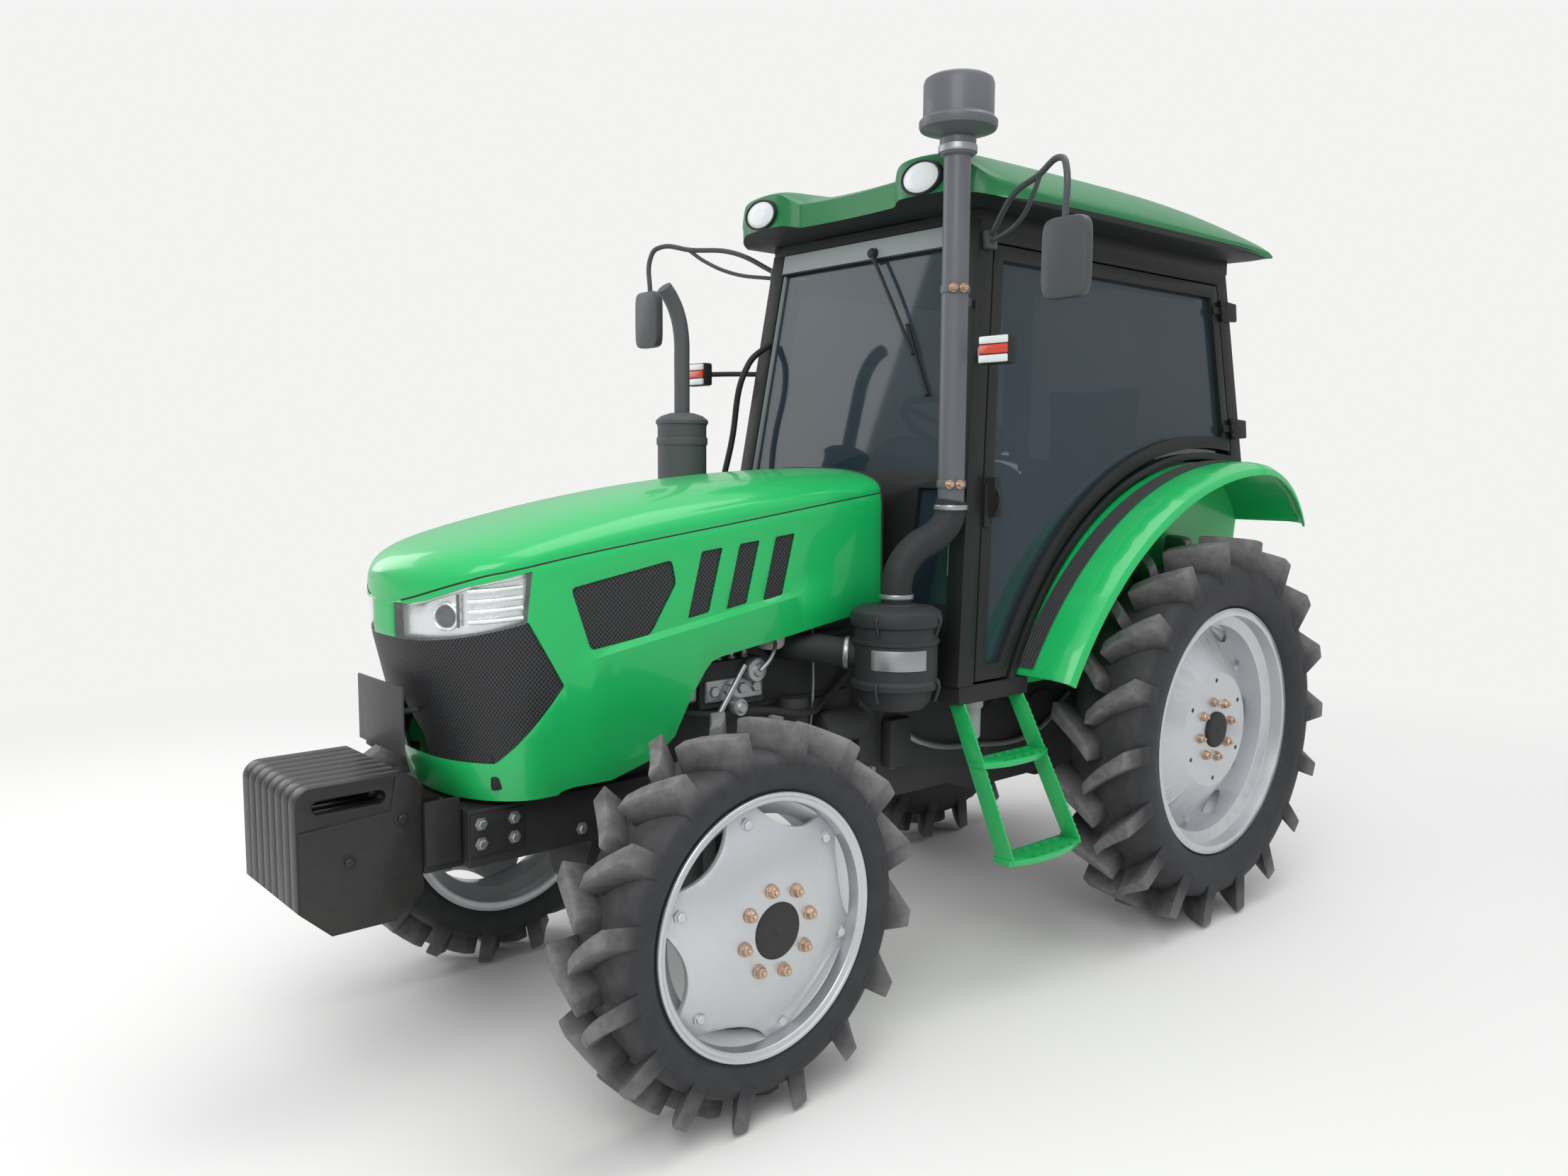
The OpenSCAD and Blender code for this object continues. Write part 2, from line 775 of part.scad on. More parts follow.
// the top falls to the rear, and in the middle also to the brow between the two lamps
function roof_fall(x, y) = 86 * pow(max(0, (300 - x) / 910), 2) + 8 * pow(max(0, (x - 300) / 890), 2)
  + 62 * max(0, min(1, (x - 800) / 330)) * max(0, min(1, (290 - abs(y)) / 80));

function roof_top(l, t) =
  let (x = l[1] + (l[2] - l[1]) * t, nip = t < 0.01 || t > 0.99 ? 16 : t < 0.03 || t > 0.975 ? 5 : 0)
  [x, l[0], roof_z + max(l[3] + 14, l[4] - roof_fall(x, l[0]) * (l[4] / 178) - nip)];

// the underside rises towards the brow and the rear tip
function roof_low(l, t) =
  let (x = l[1] + (l[2] - l[1]) * t, up = 34 * max(0, (x - 1050) / 140) + 45 * max(0, (-480 - x) / 130))
  [x, l[0], roof_z + max(l[3], up)];

module roof() color(green) {
  lines = concat(roof_lines, [for (i = [len(roof_lines) - 2 : -1 : 0])
    let (l = roof_lines[i]) [-l[0], l[1], l[2], l[3], l[4]]]);
  n = len(lines);
  m = len(roof_steps);
  pts = concat([for (l = lines, t = roof_steps) roof_top(l, t)],
    [for (l = lines, t = roof_steps) roof_low(l, t)]);
  low = n * m;
  skin = [for (i = [0 : n - 2], j = [0 : m - 2])
    each [[i * m + j, i * m + j + 1, (i + 1) * m + j], [i * m + j + 1, (i + 1) * m + j + 1, (i + 1) * m + j]]];
  rim = concat([for (j = [0 : m - 1]) j], [for (i = [1 : n - 1]) i * m + m - 1],
    [for (j = [m - 2 : -1 : 0]) (n - 1) * m + j], [for (i = [n - 2 : -1 : 1]) i * m]);
  k = len(rim);
  wall = [for (j = [0 : k - 1])
    each [[rim[j], low + rim[j], rim[(j + 1) % k]], [low + rim[j], low + rim[(j + 1) % k], rim[(j + 1) % k]]]];
  polyhedron(pts, concat(skin, [for (f = skin) [low + f[0], low + f[2], low + f[1]]], wall));
}

module lamps() color(silver) {
  both_sides() {
    rod([1191.5, 372, roof_z + 92], [1208, 372, roof_z + 92], 50);
    cab_side()
      block([1046, 0, 960], [1086, 8, 1010]);
    rod([1075, 520, 1940], [1215, 672, 1940], 9);
    block([1196, 640, 1898], [1244, 752, 1982]);
  }
}

module left_door_frame() color(black) cab_side() {
  difference() {
    side_plate(-40, 0)
      doorway(shut_gap);
    side_plate(-41, 1)
      doorway(shut_gap + 45);
  }
  for (w = hinge_w)
    difference() {
      union() {
        rod(hinge_at(w - 15), hinge_at(w + 15), 11);
        block([c_front(w) + 8, -1, w - 13], [c_front(w) + 55, 9, w + 13]);
      }
      rod(hinge_at(w - 16), hinge_at(w + 16), 5 + run_fit);
    }
  block([a_rear(560) - 50, 0, 500], [a_rear(560) - 22, 34, 620]);
}

module right_door_frame() {
  mirror([0, 1, 0])
    left_door_frame();
}

module left_door_glass() color([0.5, 0.65, 0.7, 0.5]) cab_side() {
  side_plate(-24, -18)
    doorway(shut_gap + 45);
}

module right_door_glass() {
  mirror([0, 1, 0])
    left_door_glass();
}

// the skin of the fender in radius and y, g thicker on every side
module fender_skin(r, g = 0) {
  y = tyre_y;
  polygon([[r + g, wall_y + 2 - g], [r + g, y + 45], [r - 6 + g, y + 85 + g], [r - 22 + g, y + 111 + g],
    [r - crest, y + 120 + g], [r - crest - g, y + 112 - g], [r - 28 - g, y + 104 - g], [r - 14 - g, y + 80],
    [r - 8 - g, y + 43], [r - 8 - g, wall_y + 2 - g]]);
}

module fender_arc(x, z, r, from, to) {
  translate([x, 0, z])
    rotate([-90, 0, 0])
      rotate([0, 0, -to])
        rotate_extrude(angle = to - from, $fn = 180)
          fender_skin(r);
}

module fenders() color(green) both_sides() {
  fender_arc(-arc_back, arc_z, crest_r, 30, 90);
  fender_arc(-arc_back, tail_z, tail_crest_r, 90, 155);
  // the seam strip where the two arcs meet
  translate([-arc_back + 6, 0, tail_z])
    rotate([0, -90, 0])
      linear_extrude(12)
        fender_skin(tail_crest_r, 1.2);
  // the inner wall, whose edge lies inside the skin
  side_plate(wall_y, wall_y + 8)
    polygon(concat(
      [for (a = [33 : 6 : 87]) [-arc_back + (crest_r - 3) * cos(a), arc_z + (crest_r - 3) * sin(a)]],
      [for (a = [95 : 10 : 155])
        [-arc_back + (tail_crest_r - 3) * cos(a), tail_z + (tail_crest_r - 3) * sin(a)]],
      [[-arc_back - 300, 1160], [300, 1160], [300, 905], [880, 905]]));
}

// a flat bar between two points, w wide and t thick
module flat_bar(a, b, w, t) {
  d = b - a;
  translate(a)
    rotate([0, acos(d[2] / norm(d)), atan2(d[1], d[0])])
      translate([-t / 2, -w / 2, 0])
        cube([t, w, norm(d)]);
}

module steps() color(green) both_sides() {
  difference() {
    union() {
      flat_bar([932, 552, 930], [780, 690, 425], 46, 10);
      flat_bar([1205, 552, 930], [1112, 690, 425], 46, 10);
    }
    block([800, 400, 905], [1300, 760, 1000]);
    block([600, 600, 380], [1200, 760, 420]);
  }
  block([772, 640, 420], [1122, 745, 440]);
  block([862, 580, 715], [1176, 680, 735]);
}

module mirrors() color(black) both_sides() {
  cab_side()
    block([992, 0, side_h - 95], [1042, 26, side_h - 35]);
  z = roof_z;
  pipe_run([[1020, 502, z - 78], [1100, 640, z], [1250, 925, z + 35], [1262, 945, z - 135]], 9);
  pipe_run([[1020, 502, z - 100], [1090, 660, z - 70], [1185, 802, z + 20]], 7);
  block([1244, 880, z - 335], [1280, 1026, z - 123]);
}

module seat_base() color(black) {
  block([-160, -150, 1160], [180, 150, 1330]);
  block([-320, -60, 1330], [-222, 60, 1400]);
  block([-320, -60, 1400], [-306, 60, 1700]);
}

module seat() color(black) {
  block([-220, -240, 1330.3], [270, 240, 1430]);
  block([-305.7, -230, 1430.3], [-190, 230, 1950]);
}

module steering_wheel() color(black) translate(steer_c) rotate([0, -steer_tilt, 0]) {
  rotate_extrude($fn = 96)
    translate([190, 0])
      circle(r = 14, $fn = 32);
  difference() {
    translate([0, 0, -42])
      cylinder(h = 50, r = 44, $fn = 64);
    translate([0, 0, -43])
      cylinder(h = 36, r = 10 + run_fit, $fn = 48);
  }
  for (a = [90, 210, 330])
    rotate([0, 0, a])
      block([30, -14, -18], [186, 14, -8]);
}

module dashboard() color(black) {
  side_plate(-230, 230)
    polygon([[860, sill_z], [1150, sill_z], [1110, 1500], [1000, 1560], [900, 1500], [840, 1350]]);
  translate(steer_c)
    rotate([0, -steer_tilt, 0])
      translate([0, 0, -520])
        cylinder(h = 472, r = 36, $fn = 64);
  translate(steer_c)
    rotate([0, -steer_tilt, 0])
      translate([0, 0, -60])
        cylinder(h = 52, r = 10, $fn = 48);
}

module lower_links() color(black) both_sides() {
  difference() {
    union() {
      drum(link_pivot[0], link_pivot[1], 208, 240, 32);
      rod([link_pivot[0] - 10, 234, link_pivot[1]], [-link_reach + 36, 372, link_pivot[1]], 22);
      drum(-link_reach + 36, link_pivot[1], 350, 394, 36);
    }
    drum(link_pivot[0], link_pivot[1], 200, 262, 14 + run_fit);
    drum(-link_reach + 36, link_pivot[1], 349, 395, 14.35);
  }
  drum(link_pivot[0] - lift_len, link_pivot[1], 306, 372, 10);
}

module lift_arms() color(black) both_sides() {
  difference() {
    union() {
      drum(lift_pivot[0], lift_pivot[1], 266, 300, 50);
      block([lift_pivot[0] - lift_len, 270, lift_pivot[1] - 20], [lift_pivot[0], 296, lift_pivot[1] + 20]);
      drum(lift_pivot[0] - lift_len, lift_pivot[1], 270, 296, 30);
    }
    drum(lift_pivot[0], lift_pivot[1], 260, 310, 20 + run_fit);
  }
  drum(lift_pivot[0] - lift_len, lift_pivot[1], 290, 334, 10);
}

module lift_rods() color(black) both_sides() {
  difference() {
    union() {
      rod([lift_pivot[0] - lift_len, 315, lift_pivot[1]], [link_pivot[0] - lift_len, 354, link_pivot[1]], 14);
      drum(lift_pivot[0] - lift_len, lift_pivot[1], 300, 330, 24);
      drum(link_pivot[0] - lift_len, link_pivot[1], 339, 369, 24);
    }
    drum(lift_pivot[0] - lift_len, lift_pivot[1], 290, 340, 10 + run_fit);
    drum(link_pivot[0] - lift_len, link_pivot[1], 330, 380, 10 + run_fit);
  }
}

module top_link() color(black) {
  difference() {
    union() {
      drum(top_pivot[0], top_pivot[1], -22, 22, 26);
      rod([top_pivot[0], 0, top_pivot[1]], [-800, 0, top_pivot[1] - 30], 18);
      drum(-800, top_pivot[1] - 30, -25, 25, 30);
    }
    drum(top_pivot[0], top_pivot[1], -30, 30, 12 + run_fit);
    drum(-800, top_pivot[1] - 30, -26, 26, 12.7);
  }
}

module drawbar() color(black) {
  difference() {
    block([-640, -38, 400], [120, 38, 436]);
    translate([-595, 0, 390])
      cylinder(h = 60, r = 15, $fn = 48);
  }
  block([-150, -60, 436], [-90, 60, 480]);
  block([60, -60, 436], [120, 60, 480]);
}

place() engine();
place() transmission();
place() rear_axle();
place() front_frame();
place() front_axle();
place() tie_rod();
place() left_knuckle();
place() right_knuckle();
place() front_left_tyre();
place() front_right_tyre();
place() rear_left_tyre();
place() rear_right_tyre();
place() front_left_rim();
place() front_right_rim();
place() rear_left_rim();
place() rear_right_rim();
place() weights();
place() weight_carrier();
place() fuel_tank();
place() air_cleaner();
place() intake_stack();
place() exhaust();
place() hood_shell();
place() hood_grille();
place() hood_lamps();
place() cab_floor();
place() cab_frame();
place() cab_glass();
place() roof();
place() lamps();
place() left_door_frame();
place() right_door_frame();
place() left_door_glass();
place() right_door_glass();
place() fenders();
place() steps();
place() mirrors();
place() seat_base();
place() seat();
place() steering_wheel();
place() dashboard();
place() lower_links();
place() lift_arms();
place() lift_rods();
place() top_link();
place() drawbar();
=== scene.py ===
import json
import math
import bpy
from mathutils import Matrix, Vector

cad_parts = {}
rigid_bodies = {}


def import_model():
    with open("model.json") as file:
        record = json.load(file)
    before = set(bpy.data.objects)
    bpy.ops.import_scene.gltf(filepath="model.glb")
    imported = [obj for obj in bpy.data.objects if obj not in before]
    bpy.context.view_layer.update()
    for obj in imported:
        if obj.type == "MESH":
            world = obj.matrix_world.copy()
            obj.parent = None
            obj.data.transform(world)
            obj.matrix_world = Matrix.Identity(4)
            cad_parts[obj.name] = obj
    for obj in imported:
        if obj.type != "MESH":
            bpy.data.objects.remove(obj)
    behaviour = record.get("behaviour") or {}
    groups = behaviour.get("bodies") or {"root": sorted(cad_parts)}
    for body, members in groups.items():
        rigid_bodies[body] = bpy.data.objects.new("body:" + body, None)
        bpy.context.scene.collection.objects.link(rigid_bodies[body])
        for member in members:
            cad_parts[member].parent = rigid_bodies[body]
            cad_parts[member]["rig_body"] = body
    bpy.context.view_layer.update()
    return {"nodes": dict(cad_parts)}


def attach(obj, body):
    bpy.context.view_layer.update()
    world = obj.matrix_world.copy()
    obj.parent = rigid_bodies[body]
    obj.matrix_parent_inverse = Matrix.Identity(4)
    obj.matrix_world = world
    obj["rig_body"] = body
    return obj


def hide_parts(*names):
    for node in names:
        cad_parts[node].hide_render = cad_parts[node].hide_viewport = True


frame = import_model()


# Viewpoint
# The camera stands ahead of the left front corner, a little above the hood,
# as the photograph was taken. Drawing points are millimetres from the ground under the rear axle.
plan_middle = 1060
look_down, heading, roll = 5.876, -131.056, 0.331


def at(x, y, z):
    return Vector(((x - plan_middle) / 1000, y / 1000, z / 1000))


bpy.ops.object.select_all(action="DESELECT")
bpy.ops.object.camera_add(location=at(3930, 2900, 1616),
                          rotation=(math.radians(90 - look_down), 0, math.radians(heading - 90)))
camera = bpy.context.object
camera.rotation_euler.rotate_axis("Z", math.radians(roll))
camera.data.sensor_fit = "HORIZONTAL"
camera.data.sensor_width = 36
camera.data.lens = 27.68
bpy.context.scene.camera = camera
bpy.context.scene.view_settings.view_transform = "Standard"


# Studio
# A wide pale floor and an even pale room, with three large soft lamps:
# one ahead on the left, one over the roof and a weaker one on the far side.
def linear(code):
    parts = [int(code[i:i + 2], 16) / 255 for i in (1, 3, 5)]
    return tuple(p / 12.92 if p <= 0.04045 else ((p + 0.055) / 1.055) ** 2.4 for p in parts) + (1,)


def add(tree, kind, inputs=None, **settings):
    made = tree.nodes.new(kind)
    for name, value in settings.items():
        setattr(made, name, value)
    for key, value in (inputs or {}).items():
        if isinstance(value, bpy.types.NodeSocket):
            tree.links.new(value, made.inputs[key])
        else:
            made.inputs[key].default_value = value
    return made


def start_material(name, colour, roughness, metallic=0.0):
    made = bpy.data.materials.new(name)
    made.use_nodes = True
    tree = made.node_tree
    shader = tree.nodes["Principled BSDF"]
    shader.inputs["Base Color"].default_value = linear(colour)
    shader.inputs["Roughness"].default_value = roughness
    shader.inputs["Metallic"].default_value = metallic
    place = add(tree, "ShaderNodeTexCoord").outputs["Object"]
    return made, tree, shader, place


# Matt studio paper: faint long unevenness only.
paper, tree, shader, place = start_material("studio_paper", "#E9E9E7", 0.8)
cloud = add(tree, "ShaderNodeTexNoise", {"Vector": place, "Scale": 0.6, "Detail": 2.0})
shade = add(tree, "ShaderNodeMix", {"Factor": cloud.outputs["Fac"], "A": linear("#E6E6E4"),
                                    "B": linear("#EBEBE9")}, data_type="RGBA")
tree.links.new(shade.outputs["Result"], shader.inputs["Base Color"])
# Some metres out the floor passes into the background without an edge.
reach = add(tree, "ShaderNodeVectorMath", {0: place}, operation="LENGTH")
fade = add(tree, "ShaderNodeMapRange", {"Value": reach.outputs["Value"], "From Min": 1.8, "From Max": 6.5},
           interpolation_type="SMOOTHSTEP")
veil = add(tree, "ShaderNodeEmission", {"Color": linear("#F3F3F2")})
blend = add(tree, "ShaderNodeMixShader", {0: fade.outputs[0], 1: shader.outputs[0], 2: veil.outputs[0]})
tree.links.new(blend.outputs[0], tree.nodes["Material Output"].inputs["Surface"])
bpy.ops.mesh.primitive_plane_add(size=60, location=(0, 0, 0))
floor = bpy.context.object
floor.name = "floor"
floor.data.materials.append(paper)

# The camera and the glass see a plain pale wall, and gloss sees a ceiling brighter than the wall.
room = bpy.data.worlds.new("room")
bpy.context.scene.world = room
room.use_nodes = True
tree = room.node_tree
tree.nodes.clear()
rays = add(tree, "ShaderNodeLightPath").outputs
seen = add(tree, "ShaderNodeMath", {0: rays["Is Camera Ray"], 1: rays["Is Transmission Ray"]},
           operation="MAXIMUM")
way = add(tree, "ShaderNodeSeparateXYZ", {"Vector": add(tree, "ShaderNodeTexCoord").outputs["Generated"]})
ceiling = add(tree, "ShaderNodeMapRange", {"Value": way.outputs["Z"], "From Min": 0.1, "From Max": 0.9,
                                           "To Min": 0.62, "To Max": 1.3})
bright = add(tree, "ShaderNodeMix", {"Factor": rays["Is Glossy Ray"], "A": 0.84, "B": ceiling.outputs[0]})
glow = add(tree, "ShaderNodeBackground", {"Color": linear("#F4F5F6"), "Strength": bright.outputs["Result"]})
back = add(tree, "ShaderNodeBackground", {"Color": linear("#F3F3F2"), "Strength": 1.0})
pick = add(tree, "ShaderNodeMixShader", {0: seen.outputs[0], 1: glow.outputs[0], 2: back.outputs[0]})
add(tree, "ShaderNodeOutputWorld", {"Surface": pick.outputs[0]})

for spot, aim, size, power in [((4.2, 3.4, 4.6), (0.3, 0.2, 0.9), 3.2, 150),
                               ((-0.6, 1.2, 6.2), (0.0, 0.0, 1.0), 4.0, 125),
                               ((2.4, -4.4, 3.0), (0.2, 0.0, 1.0), 3.0, 60)]:
    bpy.ops.object.light_add(type="AREA", location=spot)
    lamp = bpy.context.object
    lamp.data.size = size
    lamp.data.energy = power
    lamp.rotation_euler = (Vector(aim) - Vector(spot)).to_track_quat("-Z", "Y").to_euler()


# Tyres
# Natural-rubber farm tyres moulded with tall slanting lugs in two rows that alternate,
# so the carcass shows between them. The lugs are rubbed pale by dry soil.
same_point = 0.00002


def pick_only(obj):
    bpy.ops.object.select_all(action="DESELECT")
    obj.select_set(True)
    bpy.context.view_layer.objects.active = obj


def close_up():
    # edit mode, everything: doubles merged and faces turned outwards
    bpy.ops.mesh.select_all(action="SELECT")
    bpy.ops.mesh.remove_doubles(threshold=same_point)
    bpy.ops.mesh.normals_make_consistent(inside=False)
    bpy.ops.object.mode_set(mode="OBJECT")


def draw_line(name, points):
    # one vertex, drawn out along a list of points
    bpy.ops.object.select_all(action="DESELECT")
    bpy.ops.mesh.primitive_plane_add(size=0.01)
    bpy.context.object.name = name
    bpy.ops.object.mode_set(mode="EDIT")
    bpy.ops.mesh.merge(type="CENTER")
    bpy.ops.transform.translate(value=points[0])
    for a, b in zip(points, points[1:]):
        bpy.ops.mesh.extrude_region_move(TRANSFORM_OT_translate={"value": b - a})
    bpy.ops.mesh.select_all(action="SELECT")


def turned(name, profile, middle, axis=(0, 1, 0), steps=96):
    # a profile of radius and distance along the axis, spun about it
    axis = Vector(axis).normalized()
    out = Vector((1, 0, 0)) if abs(axis.x) < 0.5 else Vector((0, 1, 0))
    out = (out - axis * out.dot(axis)).normalized()
    draw_line(name, [middle + out * r / 1000 + axis * h / 1000 for r, h in profile])
    bpy.ops.mesh.spin(steps=steps, angle=2 * math.pi, center=middle, axis=axis)
    close_up()
    return bpy.context.object


def smooth(angle):
    # smooth shading, but for edges sharper than an angle in degrees
    bpy.ops.object.shade_smooth_by_angle(angle=math.radians(angle))


def soften(obj, width, segments=2, angle=35):
    # edges sharper than an angle rounded to a width in millimetres
    pick_only(obj)
    edge = obj.modifiers.new("edge", "BEVEL")
    edge.width = width / 1000
    edge.segments = segments
    edge.angle_limit = math.radians(angle)
    bpy.ops.object.modifier_apply(modifier="edge")
    smooth(38)
    return obj


def copied(obj, name, matrix):
    twin = bpy.data.objects.new(name, obj.data.copy())
    bpy.context.collection.objects.link(twin)
    twin.data.transform(matrix)
    if matrix.determinant() < 0:
        twin.data.flip_normals()
    return twin


def around(obj, count, middle, first=0.0):
    # copies set round a wheel's axis, the first one included
    made = []
    for i in range(count):
        turn = Matrix.Rotation(math.radians(first) + 2 * math.pi * i / count, 4, Vector((0, 1, 0)))
        made.append(copied(obj, obj.name + "_%d" % i,
                           Matrix.Translation(middle) @ turn @ Matrix.Translation(-Vector(middle))))
    bpy.data.objects.remove(obj)
    return made


def joined(name, objs):
    pick_only(objs[0])
    for other in objs:
        other.select_set(True)
    bpy.ops.object.join()
    bpy.context.object.name = name
    return bpy.context.object


flip = Matrix.Scale(-1, 4, (0, 1, 0))


def rubber(name, middle, tip, base):
    # moulded rubber: dark, dull, with flow marks a few centimetres long and a fine matt grain;
    # towards the lug tips it turns pale with dried soil
    made, tree, shader, place = start_material(name, "#434447", 0.66)
    centred = add(tree, "ShaderNodeMapping", {"Vector": place, "Location": (-middle.x, 0, -middle.z)})
    flat = add(tree, "ShaderNodeVectorMath", {0: centred.outputs[0], 1: (1, 0, 1)}, operation="MULTIPLY")
    reach = add(tree, "ShaderNodeVectorMath", {0: flat.outputs[0]}, operation="LENGTH")
    patch = add(tree, "ShaderNodeTexNoise", {"Vector": place, "Scale": 22.0, "Detail": 6.0,
                                             "Roughness": 0.65})
    tipped = add(tree, "ShaderNodeMapRange", {"Value": reach.outputs["Value"], "From Min": base / 1000,
                                              "From Max": tip / 1000, "To Max": 1.2})
    soiled = add(tree, "ShaderNodeMath", {0: tipped.outputs[0], 1: patch.outputs["Fac"]},
                 operation="MULTIPLY")
    tone = add(tree, "ShaderNodeMix", {"Factor": patch.outputs["Fac"], "A": linear("#202123"),
                                       "B": linear("#38393C")}, data_type="RGBA")
    paled = add(tree, "ShaderNodeMix", {"Factor": soiled.outputs[0], "A": tone.outputs["Result"],
                                        "B": linear("#868384")}, data_type="RGBA")
    tree.links.new(paled.outputs["Result"], shader.inputs["Base Color"])
    grain = add(tree, "ShaderNodeTexNoise", {"Vector": place, "Scale": 260.0, "Detail": 3.0})
    bump = add(tree, "ShaderNodeBump", {"Height": grain.outputs["Fac"], "Strength": 0.25, "Distance": 0.001})
    tree.links.new(bump.outputs[0], shader.inputs["Normal"])
    shader.inputs["Specular IOR Level"].default_value = 0.35
    return made


def lug(name, middle, tip, half, sides, sweep_back, wide):
    # one lug: a cube drawn out from the middle line to the shoulder, bent round the tyre
    bpy.ops.object.select_all(action="DESELECT")
    bpy.ops.mesh.primitive_cube_add(size=1)
    piece = bpy.context.object
    piece.name = name
    bpy.ops.object.mode_set(mode="EDIT")
    bpy.ops.mesh.subdivide(number_cuts=3)
    bpy.ops.object.mode_set(mode="OBJECT")
    for v in piece.data.vertices:
        u, across, up = v.co.y + 0.5, v.co.x * 2, v.co.z + 0.5
        y = -0.07 * half + u * (half * 1.05 - 4 * up)
        foot = sides(min(abs(y), half * 0.985)) - 8
        r = foot + (tip - 3 * u * u - foot) * up
        width = wide * (0.40 + 0.12 * u) * (1 + 0.5 * (1 - up))
        s = -sweep_back * u ** 0.82 + across * width
        turn = s / (tip * 0.93)
        v.co = middle + Vector((r * math.sin(turn), y, r * math.cos(turn))) / 1000
    bpy.ops.object.mode_set(mode="EDIT")
    close_up()
    return soften(piece, tip * 0.008)


def tyre(name, middle, body, tip, crown, half, bead, count, sweep_back, wide):
    # half the section from bead to crown: radius, distance from the middle plane
    section = [(bead[0], bead[1] - 14), (bead[0], bead[1]), (bead[0] + 22, bead[1] + 1),
               (bead[0] + 34, bead[1] + (half - bead[1]) * 0.6),
               (bead[0] + (crown - bead[0]) * 0.45, half * 0.965),
               (bead[0] + (crown - bead[0]) * 0.66, half * 0.97),
               (bead[0] + (crown - bead[0]) * 0.84, half * 0.9),
               (bead[0] + (crown - bead[0]) * 0.94, half * 0.74), (crown - 2, half * 0.45), (crown, 0)]
    ring = section + [(r, -y) for r, y in section[-2::-1]]
    shell = turned(name + "_carcass", ring, middle, steps=96)
    smooth(50)

    def sides(y):
        for (r0, y0), (r1, y1) in zip(section[5:], section[6:]):
            if y1 <= y <= y0:
                return r1 + (r0 - r1) * (y - y1) / (y0 - y1)
        return section[5][0]

    one = lug(name + "_lug", middle, tip, half, sides, sweep_back, wide)
    spun = Matrix.Translation(middle) @ Matrix.Rotation(math.pi / count, 4, "Y") @ Matrix.Translation(-middle)
    shift = Matrix.Translation((0, 2 * middle.y, 0)) @ flip
    other = copied(one, name + "_far_lug", spun @ shift)
    lugs = around(one, count, middle, first=180) + around(other, count, middle)
    made = joined(name + "_moulding", [shell] + lugs)
    made.data.materials.clear()
    made.data.materials.append(rubber(name + "_rubber", middle, tip, crown - 25))
    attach(made, body)
    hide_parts(name)


wheelbase, half_track, front_radius, rear_radius = 2100, 655, 500, 685
for side, word in [(1, "left"), (-1, "right")]:
    tyre("front_%s_tyre" % word, at(wheelbase, half_track * side, front_radius), "front_%s_wheel" % word,
         tip=front_radius, crown=428, half=114, bead=(313, 91), count=16, sweep_back=92, wide=42)
    tyre("rear_%s_tyre" % word, at(0, half_track * side, rear_radius), "rear_%s_wheel" % word,
         tip=rear_radius, crown=598, half=150, bead=(419, 103), count=18, sweep_back=118, wide=50)


# Wheel rims
# Rolled steel rims with a pressed disc welded inside, sprayed silver. Eight plated nuts hold each disc
# to its hub, and six arms of the disc are bolted to lugs inside the rim.
def fit(obj, body, slot, mat, *stands_for):
    # the piece's material, the body that carries it and the nodes it stands for; the slot argument for its
    # finish is not used
    obj.data.materials.clear()
    obj.data.materials.append(mat)
    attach(obj, body)
    if stands_for:
        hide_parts(*stands_for)
    return obj


def dressed(name, mat, slot, width, angle=35, quads=0):
    # a copy of a solid with its edges rounded as pressed, cast or cut metal is
    source = frame["nodes"][name]
    made = bpy.data.objects.new(name + "_dressed", source.data.copy())
    bpy.context.collection.objects.link(made)
    pick_only(made)
    bpy.ops.object.mode_set(mode="EDIT")
    bpy.ops.mesh.select_all(action="SELECT")
    bpy.ops.mesh.remove_doubles(threshold=same_point)
    bpy.ops.mesh.dissolve_limited(angle_limit=math.radians(0.6))
    if quads:
        bpy.ops.mesh.quads_convert_to_tris()
        bpy.ops.mesh.tris_convert_to_quads(face_threshold=math.radians(60), shape_threshold=math.radians(60))
    bpy.ops.object.mode_set(mode="OBJECT")
    soften(made, width, 2, angle)
    if quads:
        round_off = made.modifiers.new("round", "SUBSURF")
        round_off.levels = round_off.render_levels = quads
        bpy.ops.object.modifier_apply(modifier="round")
    smooth(38)
    return fit(made, source["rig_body"], slot, mat, name)


